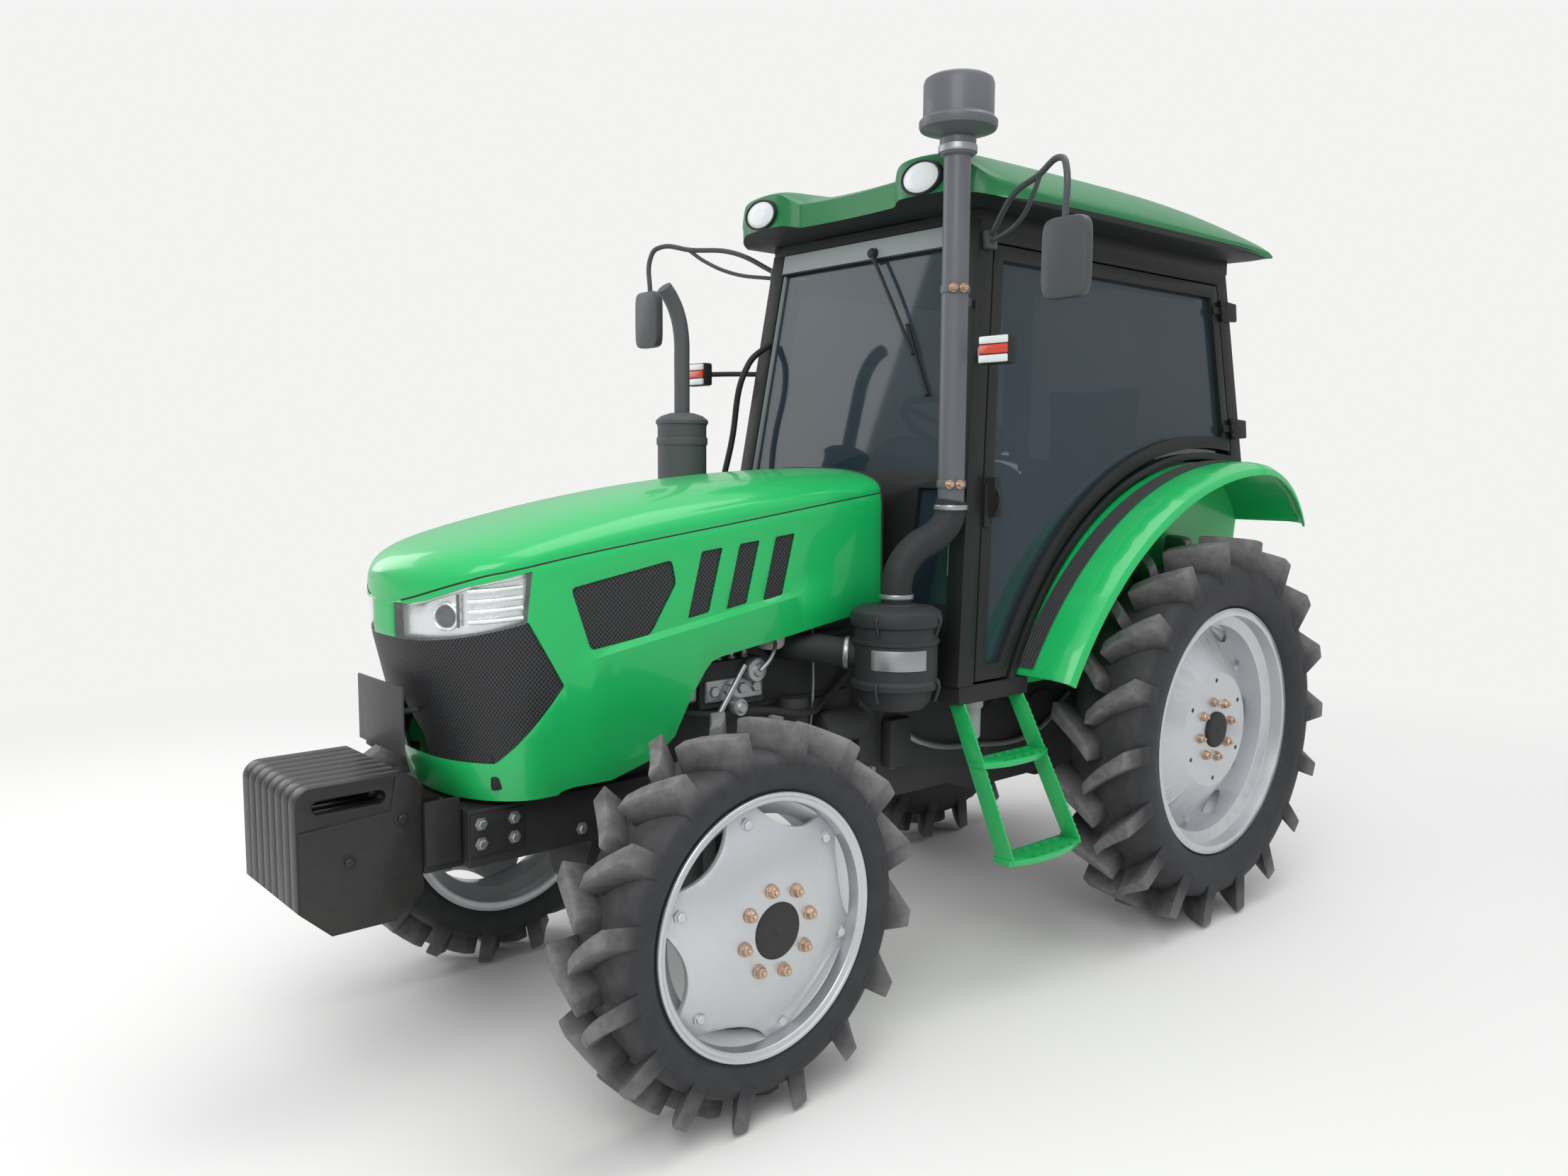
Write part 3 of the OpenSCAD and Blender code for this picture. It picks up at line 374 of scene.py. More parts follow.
def paint(name, colour, deep, roughness, coat, metallic=0.0, peel=0.12, top=1.1):
    # sprayed enamel: tone wanders a little over half a metre, orange peel of a few millimetres,
    # and a film of dust that thickens from a top in metres towards the ground
    made, tree, shader, place = start_material(name, colour, roughness, metallic)
    cloud = add(tree, "ShaderNodeTexNoise", {"Vector": place, "Scale": 2.4, "Detail": 4.0})
    tone = add(tree, "ShaderNodeMix", {"Factor": cloud.outputs["Fac"], "A": linear(deep),
                                       "B": linear(colour)}, data_type="RGBA")
    height = add(tree, "ShaderNodeSeparateXYZ", {"Vector": place})
    low = add(tree, "ShaderNodeMapRange", {"Value": height.outputs["Z"], "From Min": top, "From Max": 0.25,
                                           "To Max": 0.2})
    speck = add(tree, "ShaderNodeTexNoise", {"Vector": place, "Scale": 38.0, "Detail": 8.0, "Roughness": 0.7})
    film = add(tree, "ShaderNodeMath", {0: low.outputs[0], 1: speck.outputs["Fac"]}, operation="MULTIPLY")
    soiled = add(tree, "ShaderNodeMix", {"Factor": film.outputs[0], "A": tone.outputs["Result"],
                                         "B": linear("#7D7973")}, data_type="RGBA")
    tree.links.new(soiled.outputs["Result"], shader.inputs["Base Color"])
    dull = add(tree, "ShaderNodeMapRange", {"Value": speck.outputs["Fac"], "From Min": 0.3, "From Max": 0.75,
                                            "To Min": roughness, "To Max": roughness + 0.1})
    tree.links.new(dull.outputs[0], shader.inputs["Roughness"])
    fine = add(tree, "ShaderNodeTexNoise", {"Vector": place, "Scale": 170.0, "Detail": 2.0})
    bump = add(tree, "ShaderNodeBump", {"Height": fine.outputs["Fac"], "Strength": peel, "Distance": 0.0006})
    tree.links.new(bump.outputs[0], shader.inputs["Normal"])
    shader.inputs["Coat Weight"].default_value = coat
    shader.inputs["Coat Roughness"].default_value = 0.08
    shader.inputs["Specular IOR Level"].default_value = 0.3
    return made


# Silver spray over steel: a soft metallic sheen without a mirror image.
rim_enamel = paint("silver_wheel_enamel", "#CDD0D3", "#C0C3C7", 0.3, 0.3, metallic=0.72)
# Moulded polypropylene: near black, dull, with an eroded grain.
black_plastic = paint("moulded_black_plastic", "#26272A", "#1E1F21", 0.55, 0.0, peel=0.35)
# Yellow passivated zinc: a warm bright metal, cloudy from nut to nut.
plated_zinc = paint("yellow_plated_zinc", "#CFB7A3", "#AC8D76", 0.25, 0.0, metallic=0.8, peel=0.3, top=0.3)


def trimmed(obj, how, tool):
    # an exact cut by another shape, which stays for the next cut
    pick_only(obj)
    cut = obj.modifiers.new("cut", "BOOLEAN")
    cut.operation = how
    cut.object = tool
    cut.solver = "EXACT"
    bpy.ops.object.modifier_apply(modifier="cut")
    return obj


def front_rim(stem, middle, out):
    # the rolled rim with its stepped lip, and a domed disc with six crescents cut from its edge
    lip = [(331, -102), (331, -94), (314, -91), (312, -56), (274, -41), (274, 41), (312, 56), (314, 91),
           (331, 94), (331, 101), (328, 104), (322, 104), (318, 99), (310, 98), (305, 94), (303, 61),
           (266, 46), (266, -46), (303, -61), (303, -98), (318, -102), (331, -102)]
    ring = soften(turned(stem + "_rim_ring", lip, middle, out, 128), 1.5, 2, 30)
    dome = [(302, 62), (292, 66), (276, 73), (258, 82), (235, 93), (205, 106), (172, 117), (140, 124),
            (112, 127), (66, 128), (0, 128), (0, 117), (66, 117), (110, 116), (137, 113), (168, 106),
            (200, 95), (230, 82), (253, 71), (271, 62), (288, 55), (302, 52), (302, 62)]
    disc = turned(stem + "_disc", dome, middle, out, 128)
    one = turned("crescent", [(0, -30), (205, -30), (205, 150), (0, 150)],
                 middle + Vector((0.450, 0, 0)), out, 96)
    tool = joined("crescents", around(one, 6, middle, first=12))
    trimmed(disc, "DIFFERENCE", tool)
    bpy.data.objects.remove(tool)
    soften(disc, 2.5, 2, 50)
    made = joined(stem + "_rim_shell", [ring, disc])
    smooth(30)
    fit(made, stem + "_wheel", "rim_silver", rim_enamel, stem + "_rim")


for side, word in [(1, "left"), (-1, "right")]:
    for end, x, z, nut_r, face, cap_r, cap_y, bolt_r, bolt_y, first in [
            ("front", wheelbase, front_radius, 104, 128, 68, 130, 266, 77, 42),
            ("rear", 0, rear_radius, 102, 72, 62, 84, 352, -28, 30)]:
        stem = "%s_%s" % (end, word)
        out = Vector((0, side, 0))
        middle = at(x, half_track * side, z)
        if end == "front":
            front_rim(stem, middle, out)
        else:
            dressed(stem + "_rim", rim_enamel, "rim_silver", 2.5)
        one = turned(stem + "_nut", [(0, face), (18, face), (18, face + 3), (15, face + 4), (14.5, face + 12),
                                     (12, face + 17), (7, face + 19), (7, face + 24), (5, face + 26),
                                     (0, face + 26)], middle + Vector((nut_r / 1000, 0, 0)), axis=out,
                     steps=12)
        nuts = joined(stem + "_nuts", around(one, 8, middle, first=11))
        smooth(25)
        fit(nuts, stem + "_wheel", "link_steel", plated_zinc)
        one = turned(stem + "_bolt", [(0, bolt_y - 4), (17, bolt_y - 4), (17, bolt_y + 2), (13, bolt_y + 3),
                                      (13, bolt_y + 10), (10, bolt_y + 12), (0, bolt_y + 12)],
                     middle + Vector((bolt_r / 1000, 0, 0)), axis=out, steps=6)
        bolts = joined(stem + "_bolts", around(one, 6, middle, first=first))
        fit(bolts, stem + "_wheel", "rim_silver", rim_enamel)
        cap = turned(stem + "_hub_cap", [(0, cap_y + 7), (8, cap_y + 7), (10, cap_y + 4), (40, cap_y + 4),
                                         (cap_r - 8, cap_y + 3), (cap_r, cap_y), (cap_r + 2, cap_y - 6),
                                         (cap_r + 2, face), (cap_r - 6, face)], middle, axis=out, steps=64)
        smooth(30)
        fit(cap, stem + "_wheel", "dark_plastic", black_plastic)
        if end == "rear":
            one = turned(stem + "_blank_hole", [(0, 72.6), (7, 72.6), (8, 72.2), (8, 71)],
                         middle + Vector((0.176, 0, 0)), axis=out, steps=16)
            holes = joined(stem + "_blank_holes", around(one, 6, middle, first=30))
            fit(holes, stem + "_wheel", "dark_plastic", black_plastic)


# Engine, transmission and axles
# Grey-black painted castings bolted end to end, which are the backbone of the machine.
# Pump, filters, pipes and looms hang on the open left side of the engine.
def tube(name, points, r, straight=False, rings=8):
    # a round bar or pipe bent through points, its radius in millimetres
    bpy.ops.object.select_all(action="DESELECT")
    bpy.ops.curve.primitive_bezier_curve_add()
    made = bpy.context.object
    made.name = name
    made.data.splines.clear()
    line = made.data.splines.new("BEZIER")
    line.bezier_points.add(len(points) - 1)
    for knot, p in zip(line.bezier_points, points):
        knot.co = p
        knot.handle_left_type = knot.handle_right_type = "VECTOR" if straight else "AUTO"
    made.data.dimensions = "3D"
    made.data.bevel_depth = r / 1000
    made.data.bevel_resolution = 4
    made.data.resolution_u = rings
    made.data.use_fill_caps = True
    pick_only(made)
    bpy.ops.object.convert(target="MESH")
    bpy.ops.object.mode_set(mode="EDIT")
    close_up()
    smooth(40)
    return bpy.context.object


def cut_box(name, low, high, edge, segments=2):
    # a block between two corners with its edges rounded
    bpy.ops.object.select_all(action="DESELECT")
    bpy.ops.mesh.primitive_cube_add(size=1)
    made = bpy.context.object
    made.name = name
    a, b = at(*low), at(*high)
    bpy.ops.object.mode_set(mode="EDIT")
    bpy.ops.transform.resize(value=b - a)
    bpy.ops.transform.translate(value=(a + b) / 2)
    bpy.ops.object.mode_set(mode="OBJECT")
    return soften(made, edge, segments)


def row(name, one, steps):
    # copies moved by each of a list of steps in millimetres, joined
    made = [copied(one, name + "_%d" % i, Matrix.Translation(Vector(s) / 1000)) for i, s in enumerate(steps)]
    bpy.data.objects.remove(one)
    return joined(name, made)


# Painted sand castings: dark grey, dull, with the pitted skin of the mould.
cast_iron = paint("painted_cast_iron", "#3A3B3D", "#2E2F31", 0.6, 0.0, peel=0.6)
# Blue passivated zinc on steel: a cool satin metal.
bright_steel = paint("zinc_plated_steel", "#A9ACAE", "#8D9092", 0.35, 0.0, metallic=0.8, peel=0.2, top=0.5)
# Extruded black rubber: dull and even.
black_hose = paint("black_rubber_hose", "#2B2C2E", "#232425", 0.62, 0.0, peel=0.4)
# Stoved white enamel on sheet: pale grey under the hood, with some gloss.
filter_white = paint("filter_white_enamel", "#B9BBBA", "#A7A9A8", 0.4, 0.2)
for name in ["engine", "transmission", "rear_axle", "front_axle", "tie_rod", "left_knuckle", "right_knuckle"]:
    dressed(name, cast_iron, "cast_grey", 4)

# ribs of the block, its pan bolts and the bolts of the bell housing
rib = cut_box("block_rib", (1290, 168, 1085), (2060, 178, 1099), 3)
fit(row("block_ribs", rib, [(0, 0, 0), (0, 0, 60), (0, 0, 120), (0, 0, 180), (0, 0, -190), (0, 0, -330)]),
    "chassis", "cast_grey", cast_iron)
bolt = turned("pan_bolt", [(0, -10), (13, -10), (13, 0), (11, 1), (11, 9), (9, 10), (0, 10)],
              at(1280, 180, 662), axis=(0, 1, 0), steps=6)
fit(row("pan_bolts", bolt, [(i * 62, 0, 0) for i in range(13)]), "chassis", "link_steel", bright_steel)
bolt = turned("bell_bolt", [(0, -8), (14, -8), (14, 0), (12, 1), (12, 10), (0, 10)], at(1130, 221, 640),
              axis=(0, 1, 0), steps=6)
fit(row("bell_bolts", bolt, [(0, 0, 0), (0, 0, 70), (0, 0, 140), (0, 0, 210), (90, 0, 0), (90, 0, 210)]),
    "chassis", "link_steel", bright_steel)
# fuel filter, delivery pipes, dipstick and the loom along the block
can = turned("fuel_filter", [(0, 0), (30, 0), (40, 8), (44, 16), (44, 96), (47, 100), (47, 112), (44, 118),
                             (44, 132), (30, 138), (0, 138)], at(1650, 222, 1075), axis=(0, 0, 1), steps=48)
smooth(30)
fit(can, "chassis", "rim_silver", filter_white)
pipes = [tube("delivery_pipe_%d" % i, [at(1745 + 48 * i, 215, 1055), at(1745 + 48 * i, 218, 1110),
                                       at(1700 + 40 * i, 205, 1190), at(1480 + 130 * i, 190, 1240),
                                       at(1470 + 130 * i, 160, 1290)], 4.5) for i in range(4)]
fit(joined("delivery_pipes", pipes), "chassis", "link_steel", bright_steel)
cap = turned("pump_union", [(0, 0), (14, 0), (14, 10), (10, 12), (10, 24), (7, 26), (0, 26)],
             at(1745, 215, 1056), axis=(0, 0, 1), steps=12)
fit(row("pump_unions", cap, [(48 * i, 0, 0) for i in range(4)]), "chassis", "link_steel", bright_steel)
pump = [cut_box("pump_governor", (1930, 178, 950), (1985, 242, 1045), 10, 3),
        cut_box("pump_body", (1712, 246, 948), (1918, 262, 1012), 6, 3),
        turned("pump_gear", [(0, 30), (26, 30), (34, 24), (52, 22), (58, 14), (58, 0), (0, 0)],
               at(1985, 210, 998), (1, 0, 0), 48),
        tube("throttle_rod", [at(1960, 250, 1050), at(1930, 262, 1110), at(1850, 268, 1180)], 7,
             straight=True)]
for x in (1740, 1790, 1840, 1890):
    pump.append(turned("pump_plug", [(0, 8), (14, 8), (17, 4), (17, -4), (0, -4)],
                       at(x, 262, 980), (0, 1, 0), 6))
pump += [turned("pump_head", [(0, 34), (16, 34), (20, 28), (32, 26), (36, 20), (36, 0), (0, 0)],
                at(1752, 262, 1030), (0, 1, 0), 48),
         turned("feed_pump", [(0, 44), (12, 44), (16, 38), (24, 36), (26, 30), (26, 0), (0, 0)],
                at(1820, 262, 932), (0, 1, 0), 48),
         tube("control_rod", [at(1900, 282, 900), at(1800, 288, 1050)], 8, straight=True),
         tube("leak_pipe", [at(1752, 300, 1030), at(1722, 306, 1060), at(1690, 290, 1090),
                            at(1650, 240, 1105)], 6)]
fit(joined("pump_housing", pump), "chassis", "link_steel", bright_steel)
smooth(35)
fit(tube("dipstick", [at(1470, 174, 700), at(1468, 200, 820), at(1462, 205, 1000), at(1458, 190, 1170)], 5),
    "chassis", "link_steel", bright_steel)
fit(tube("wiring_loom", [at(1300, 190, 960), at(1400, 196, 890), at(1560, 280, 880), at(1720, 262, 905),
                         at(1900, 258, 915), at(2060, 190, 940)], 11), "chassis", "dark_plastic", black_hose)
fit(tube("fuel_hose", [at(1650, 222, 1210), at(1660, 225, 1240), at(1720, 235, 1235), at(1800, 235, 1150),
                       at(1830, 225, 1065)], 7), "chassis", "dark_plastic", black_hose)
fit(tube("oil_pipe", [at(1100, 222, 760), at(1000, 226, 700), at(700, 205, 640), at(350, 205, 640),
                      at(150, 205, 760)], 11), "chassis", "link_steel", bright_steel)
plate = turned("side_cover", [(0, 0), (70, 0), (95, -2), (100, -8), (100, -14), (0, -14)], at(560, 200, 690),
               axis=(0, 1, 0), steps=48)
smooth(30)
fit(row("side_covers", plate, [(0, 0, 0), (-250, 0, 0)]), "chassis", "cast_grey", cast_iron)
box = cut_box("valve_box", (1075, 220, 640), (1175, 262, 800), 8)
fit(box, "chassis", "cast_grey", cast_iron)


# Front frame and weights
# Two black channels carry the front axle and the weight carrier. Eight cast plates hang on the carrier,
# each with a long slot for the hand and a ledge below it, clamped together by two through bolts.
# Satin black enamel on folded steel: deep, with a broad weak sheen.
black_enamel = paint("black_satin_enamel", "#1E1F20", "#171819", 0.5, 0.05)
# Black paint brushed on rough iron: a little gloss on a coarse skin.
weight_enamel = paint("weight_iron_paint", "#202021", "#191919", 0.45, 0.15, peel=0.5)
for name in ["front_frame", "weight_carrier"]:
    dressed(name, black_enamel, "black_paint", 3)
dressed("weights", weight_enamel, "weight_black", 6)


def sheet_of(name, points, thick, edge=1.0):
    # a flat piece through points in metres, filled and thickened along one vector
    draw_line(name, points)
    bpy.ops.mesh.edge_face_add()
    bpy.ops.mesh.extrude_region_move(TRANSFORM_OT_translate={"value": thick})
    close_up()
    return soften(bpy.context.object, edge)


def slab(name, outline, thick, edge):
    # the same from an outline and a thickness in millimetres
    return sheet_of(name, [at(*p) for p in outline], Vector(thick) / 1000, edge)


ledges = []
ledge_line = [(2722, 840), (2722, 578), (2790, 524), (2943, 524), (3016, 592), (3016, 778), (2800, 790),
              (2785, 872), (2760, 872)]
for side in (1, -1):
    ledges.append(slab("weight_ledge", [(x, 184 * side, z) for x, z in ledge_line], (0, 4 * side, 0), 2))
    for spot in [(2905, 690), (2775, 770)]:
        ledges.append(turned("weight_bolt", [(0, 14), (9, 14), (11, 12), (11, 3), (18, 2), (18, -4), (0, -4)],
                             at(spot[0], 188 * side, spot[1]), axis=(0, side, 0), steps=12))
fit(joined("weight_ledges", ledges), "chassis", "weight_black", weight_enamel)
hook = cut_box("weight_bracket", (2630, 190, 640), (2722, 204, 800), 4)
hooks = [hook, copied(hook, "weight_bracket_far", flip),
         cut_box("frame_bracket", (2470, 225, 650), (2618, 233, 755), 3),
         cut_box("frame_bracket_far", (2470, -233, 650), (2618, -225, 755), 3)]
fit(joined("weight_brackets", hooks), "chassis", "black_paint", black_enamel)
bolt = turned("frame_bolt", [(0, 12), (10, 12), (12, 10), (12, 2), (18, 1), (18, -3), (0, -3)],
              at(2500, 233, 680), axis=(0, 1, 0), steps=6)
left = row("frame_bolts", bolt, [(0, 0, 0), (0, 0, 50), (90, 0, 0), (90, 0, 50), (-270, -8, -20),
                                 (-200, -8, -20), (-540, -8, -20), (-600, -8, -20)])
fit(joined("frame_bolts", [left, copied(left, "frame_bolts_far", flip)]), "chassis", "link_steel",
    bright_steel)


# Air cleaner and intake stack
# A moulded black canister with clipped lid and bowl beside the hood. A thick hose leads up to the grey
# sheet-steel stack with its drum-shaped cap, and another leads from the canister to the engine.
# Grey enamel on rolled sheet: an even mid grey with a satin streak.
stack_enamel = paint("stack_grey_enamel", "#5F6166", "#54565B", 0.38, 0.1)
# Glass-filled nylon: dark grey and dull, with a moulded grain.
canister_plastic = paint("canister_grey_plastic", "#303235", "#28292C", 0.5, 0.0, peel=0.35)
can_x, can_y = 1400, 492
stack_x, stack_y = 1225, 540
body = turned("air_cleaner_body", [(0, 906), (60, 906), (84, 912), (100, 930), (112, 968), (126, 972),
                                   (131, 976), (131, 990), (126, 994), (122, 1000), (122, 1100), (127, 1104),
                                   (127, 1112), (122, 1116), (122, 1150), (132, 1156), (134, 1164),
                                   (134, 1180), (130, 1194), (112, 1206), (60, 1212), (56, 1216),
                                   (0, 1216)], at(can_x, can_y, 0),
              axis=(0, 0, 1), steps=96)
smooth(30)
extra = []
for turn in (20, 110, 200, 290):
    c, s = math.cos(math.radians(turn)), math.sin(math.radians(turn))
    for z in (982, 1172):
        extra.append(tube("clip", [at(can_x + 124 * c, can_y + 124 * s, z - 42),
                                   at(can_x + 134 * c, can_y + 134 * s, z - 14),
                                   at(can_x + 137 * c, can_y + 137 * s, z + 4),
                                   at(can_x + 130 * c, can_y + 130 * s, z + 16)], 5))
arc = [(math.cos(math.radians(10 + 6 * i)), math.sin(math.radians(10 + 6 * i))) for i in range(14)]
panel = slab("canister_panel", [(can_x + 125 * c, can_y + 125 * s, 1034) for c, s in arc]
             + [(can_x + 120 * c, can_y + 120 * s, 1034) for c, s in arc[::-1]], (0, 0, 58), 0.5)
fit(joined("air_cleaner_body", [body] + extra), "chassis", "dark_plastic", canister_plastic, "air_cleaner")
fit(panel, "chassis", "link_steel", bright_steel)
fit(tube("air_hose", [at(1450, 431, 1062), at(1505, 364, 1069), at(1556, 302, 1077), at(1590, 245, 1080),
                      at(1592, 170, 1080)], 43), "chassis", "dark_plastic", black_hose)
fit(tube("stack_hose", [at(can_x, can_y, 1212), at(can_x, can_y, 1262), at(1388, 495, 1315),
                        at(1345, 508, 1370), at(1270, 530, 1415), at(1234, 538, 1455),
                        at(stack_x, stack_y, 1510)], 46),
    "chassis", "dark_plastic", black_hose)


def clamp(name, middle, axis, r, wide=14):
    # a flat band round a pipe
    return turned(name, [(r, -wide / 2), (r + 3, -wide / 2), (r + 4, -wide / 4), (r + 4, wide / 4),
                         (r + 3, wide / 2), (r, wide / 2)], middle, axis=axis, steps=64)


bands = [clamp("hose_clamp", at(can_x, can_y, 1236), (0, 0, 1), 46),
         clamp("hose_clamp", at(stack_x, stack_y, 1492), (0, 0, 1), 46),
         clamp("hose_clamp", at(1490, 382, 1067), (0.63, -0.77, 0.05), 43),
         clamp("hose_clamp", at(stack_x, stack_y, 2512), (0, 0, 1), 52, 20)]
fit(joined("hose_clamps", bands), "chassis", "link_steel", bright_steel)
stack = turned("stack_pipe", [(34, 1470), (39, 1472), (39, 2490), (49, 2496), (52, 2504), (52, 2540),
                              (46, 2548), (62, 2556), (96, 2562), (108, 2566), (112, 2574), (112, 2588),
                              (107, 2594), (101, 2600), (101, 2690), (97, 2702), (86, 2709),
                              (0, 2710)], at(stack_x, stack_y, 0),
               axis=(0, 0, 1), steps=96)
smooth(32)
parts = [stack]
for z in (1560, 2120):
    parts.append(clamp("stack_ring", at(stack_x, stack_y, z), (0, 0, 1), 39, 22))
    pillar_x, pillar_y = 1150 - (z - 1560) * 0.13, 506 - (z - 1560) * 0.05
    parts.append(slab("stack_bracket", [(1232, 506, z - 8), (1232, 502, z - 8), (pillar_x, pillar_y, z - 34),
                                        (pillar_x, 4 + pillar_y, z - 34)], (0, 0, 26), 1))
fit(joined("stack_pipe", parts), "chassis", "stack_grey", stack_enamel, "intake_stack")
one = turned("stack_bolt", [(0, 14), (8, 14), (9, 12), (9, 0), (14, 0), (14, -3), (0, -3)],
             at(1238, 584, 1560), axis=(0.3, 1, 0), steps=8)
fit(row("stack_bolts", one, [(0, 0, 0), (26, -16, 0), (0, 0, 560), (26, -16, 560)]), "chassis", "link_steel",
    plated_zinc)


# Exhaust
# An upright muffler of rolled sheet on the right of the hood, with three bands round it.
# A pipe feeds it from the engine, and its tip bends forward.
# Heat-proof black, burnt to a dull mid grey.
heat_enamel = paint("heat_black_enamel", "#55575A", "#47494C", 0.58, 0.0, peel=0.5)
muffler_x, muffler_y = 1500, -418
muffler = turned("muffler", [(0, 1240), (40, 1240), (60, 1246), (78, 1256), (84, 1262), (88, 1266),
                             (88, 1276), (84, 1280), (82, 1290), (82, 1735), (84, 1745), (88, 1749),
                             (88, 1759), (84, 1763), (70, 1774), (40, 1784),
                             (0, 1785)], at(muffler_x, muffler_y, 0), axis=(0, 0, 1), steps=96)
smooth(32)
pipe = tube("exhaust_pipe", [at(muffler_x, -168, 1090), at(muffler_x, -360, 1090), at(muffler_x, -402, 1104),
                             at(muffler_x, muffler_y, 1150), at(muffler_x, muffler_y, 1250)], 27)
tip = tube("exhaust_tip", [at(muffler_x, muffler_y, 1775), at(muffler_x, muffler_y, 1950),
                           at(1502, muffler_y, 2040), at(1518, muffler_y, 2110),
                           at(1548, muffler_y, 2165), at(1572, muffler_y, 2192)], 26)
rings = [clamp("muffler_band", at(muffler_x, muffler_y, z), (0, 0, 1), 82, 26) for z in (1340, 1520, 1690)]
fit(joined("muffler", [muffler, pipe, tip] + rings), "chassis", "stack_grey", heat_enamel, "exhaust")


# Hood
# Pressed steel: two side panels and a top panel that laps over the lamps, hinged at the rear and latched
# under the chin. Dark gaps show between the panels, and rubber edging closes the rear end.
hood_back, nose_start, nose_long, hood_half = 1290, 2470, 256, 318


def crown(x):
    # height of the middle line
    back = max(0, x - hood_back)
    return 1600 - 0.03 * back - 172 * (back / 1400) ** 2.4


def seam(x):
    # height of the gap under the top panel
    return crown(x) - 68 - 40 * max(0, math.sin(math.pi * (x - hood_back) / 1300))


def ridge(x):
    # height of the crease along the side
    return 1140 + (2326 - x) * 0.165


def swell(x):
    # how far the side stands out below the crease
    return 11 * max(0, min(1, (x - 1400) / 260, (2400 - x) / 90))


def half_width(x, inset=0):
    reach = min(1, max(0, (x - nose_start) / (nose_long - inset)))
    return (hood_half - inset) * (1 - reach * reach) ** 0.43


def skirt(x, z):
    # half width of the hood side below its ridge, where it tucks in towards the foot
    w = half_width(x)
    full = 0.6 + 0.4 * max(0, (z - 1020) / (ridge(x) - 1036))
    return w + full * swell(x) - 0.14 * max(0, 1020 - z) * w / hood_half


def hood_rows(x, inset):
    # half width and height from the crown down to the foot, with the gap under the top panel
    w = half_width(x, inset)
    low = 30 * min(1, max(0, (x - nose_start) / (nose_long - inset))) ** 6 + inset
    top, edge = crown(x) - low, seam(x) - low
    rows = []
    for i in range(15):
        turn = math.pi / 2 * (1 - i / 14)
        rows.append(((w - 6) * math.cos(turn) ** (2 / 2.6),
                     edge + (top - edge) * math.sin(turn) ** (2 / 2.35)))
    gap = 0 if inset else 7
    rows += [(w - 6 - gap, edge - 1), (w - 6 - gap, edge - 6), (w - 3, edge - 7), (w - 2, edge - 30)]
    rows += [(w - 2 + i * 0.5, edge - 30 + (ridge(x) - edge + 30) * i / 4) for i in (1, 2, 3, 4)]
    rows += [(w + swell(x), ridge(x) - 16), (w + 0.6 * swell(x), 1020)]
    rows += [(skirt(x, z) - inset, z) for z in (940, 860, 782)]
    return [(max(0, y), z) for y, z in rows]


def hood_sheet(name, inset, thick):
    # the whole skin of the hood, set in by some millimetres and with a wall
    xs = [hood_back + 1170 * i / 36 for i in range(37)]
    xs += [nose_start + (nose_long - inset) * math.sin(math.radians(5 * i)) for i in range(1, 19)]
    count = len(hood_rows(hood_back, inset)) - 1
    bpy.ops.object.select_all(action="DESELECT")
    bpy.ops.mesh.primitive_grid_add(x_subdivisions=len(xs) - 1, y_subdivisions=2 * count, size=2)
    made = bpy.context.object
    made.name = name
    for v in made.data.vertices:
        i = round((v.co.x + 1) / 2 * (len(xs) - 1))
        j = round((v.co.y + 1) * count) - count
        x = xs[i]
        y, z = hood_rows(x, inset)[abs(j)]
        lean = 0.26 * max(0, (x - 2460) / 266) ** 0.7
        v.co = at(x - lean * max(0, 1200 - z), y if j > 0 else -y, z)
    bpy.ops.object.mode_set(mode="EDIT")
    close_up()
    wall = made.modifiers.new("wall", "SOLIDIFY")
    wall.thickness = thick / 1000
    wall.offset = -1
    bpy.ops.object.modifier_apply(modifier="wall")
    return made


def cutter(outline, y0, y1, edge):
    # an opening's side view, drawn through the hood
    return slab("cutter", [(x, y0, z) for x, z in outline], (0, y1 - y0, 0), edge)


# Clear-coated green enamel on pressed steel: vivid, with a sharp gloss over fine orange peel.
green_enamel = paint("green_enamel", "#14B35E", "#12A857", 0.34, 0.5)
brow_line = [(2499, 1232), (2640, 1201), (2700, 1189), (2800, 1184)]
grille_line = [(2403, 1065)] + brow_line + [(2800, 880), (2560, 880)]
window_line = [(2381, 1307), (2074, 1363), (2060, 1300), (2143, 1171), (2326, 1146)]
slot_lines = []
for x in (1940, 1809, 1678):
    z = 1385 + (1940 - x) * 0.115
    slot_lines.append([(x - 36, z + 4), (x + 36, z - 4), (x + 84, z - 182), (x + 12, z - 170)])
under_line = [(1200, 1200), (1296, 1195), (1407, 1164), (1700, 1122), (1952, 1086), (2010, 1000), (2060, 886),
              (2120, 835), (2252, 796), (2400, 796), (2480, 700), (1200, 700)]
lamp_line = [(2485, 1355)] + [(x + 2, z - 3) for x, z in brow_line[:3]]
lamp_line += [(2810, 1181), (2810, 1270), (2715, 1275), (2640, 1318)]
openings = joined("openings", [cutter(grille_line, -420, 420, 4), cutter(window_line, -420, 420, 12)]
                  + [cutter(line, -420, 420, 6) for line in slot_lines])
lamp_holes = joined("lamp_holes", [cutter(lamp_line, 60, 430, 4), cutter(lamp_line, -430, -60, 4)])
under = cutter(under_line, -460, 460, 36)
shell = hood_sheet("hood_panels", 0, 4)
for tool in (under, openings, lamp_holes):
    trimmed(shell, "DIFFERENCE", tool)
soften(shell, 1.2, 2, 40)
smooth(32)
ears = [cut_box("hood_ear", (1312, 131, 1524), (1348, 149, 1590), 6),
        cut_box("hood_ear_far", (1312, -149, 1524), (1348, -131, 1590), 6)]
fit(joined("hood_panels", [shell] + ears), "hood", "green_paint", green_enamel, "hood_shell")
edge_half = [(skirt(hood_back, 1205), 1205), (hood_half, 1300), (317, 1400), (316, 1485)]
edge_half += hood_rows(hood_back, 0)[13:0:-2]
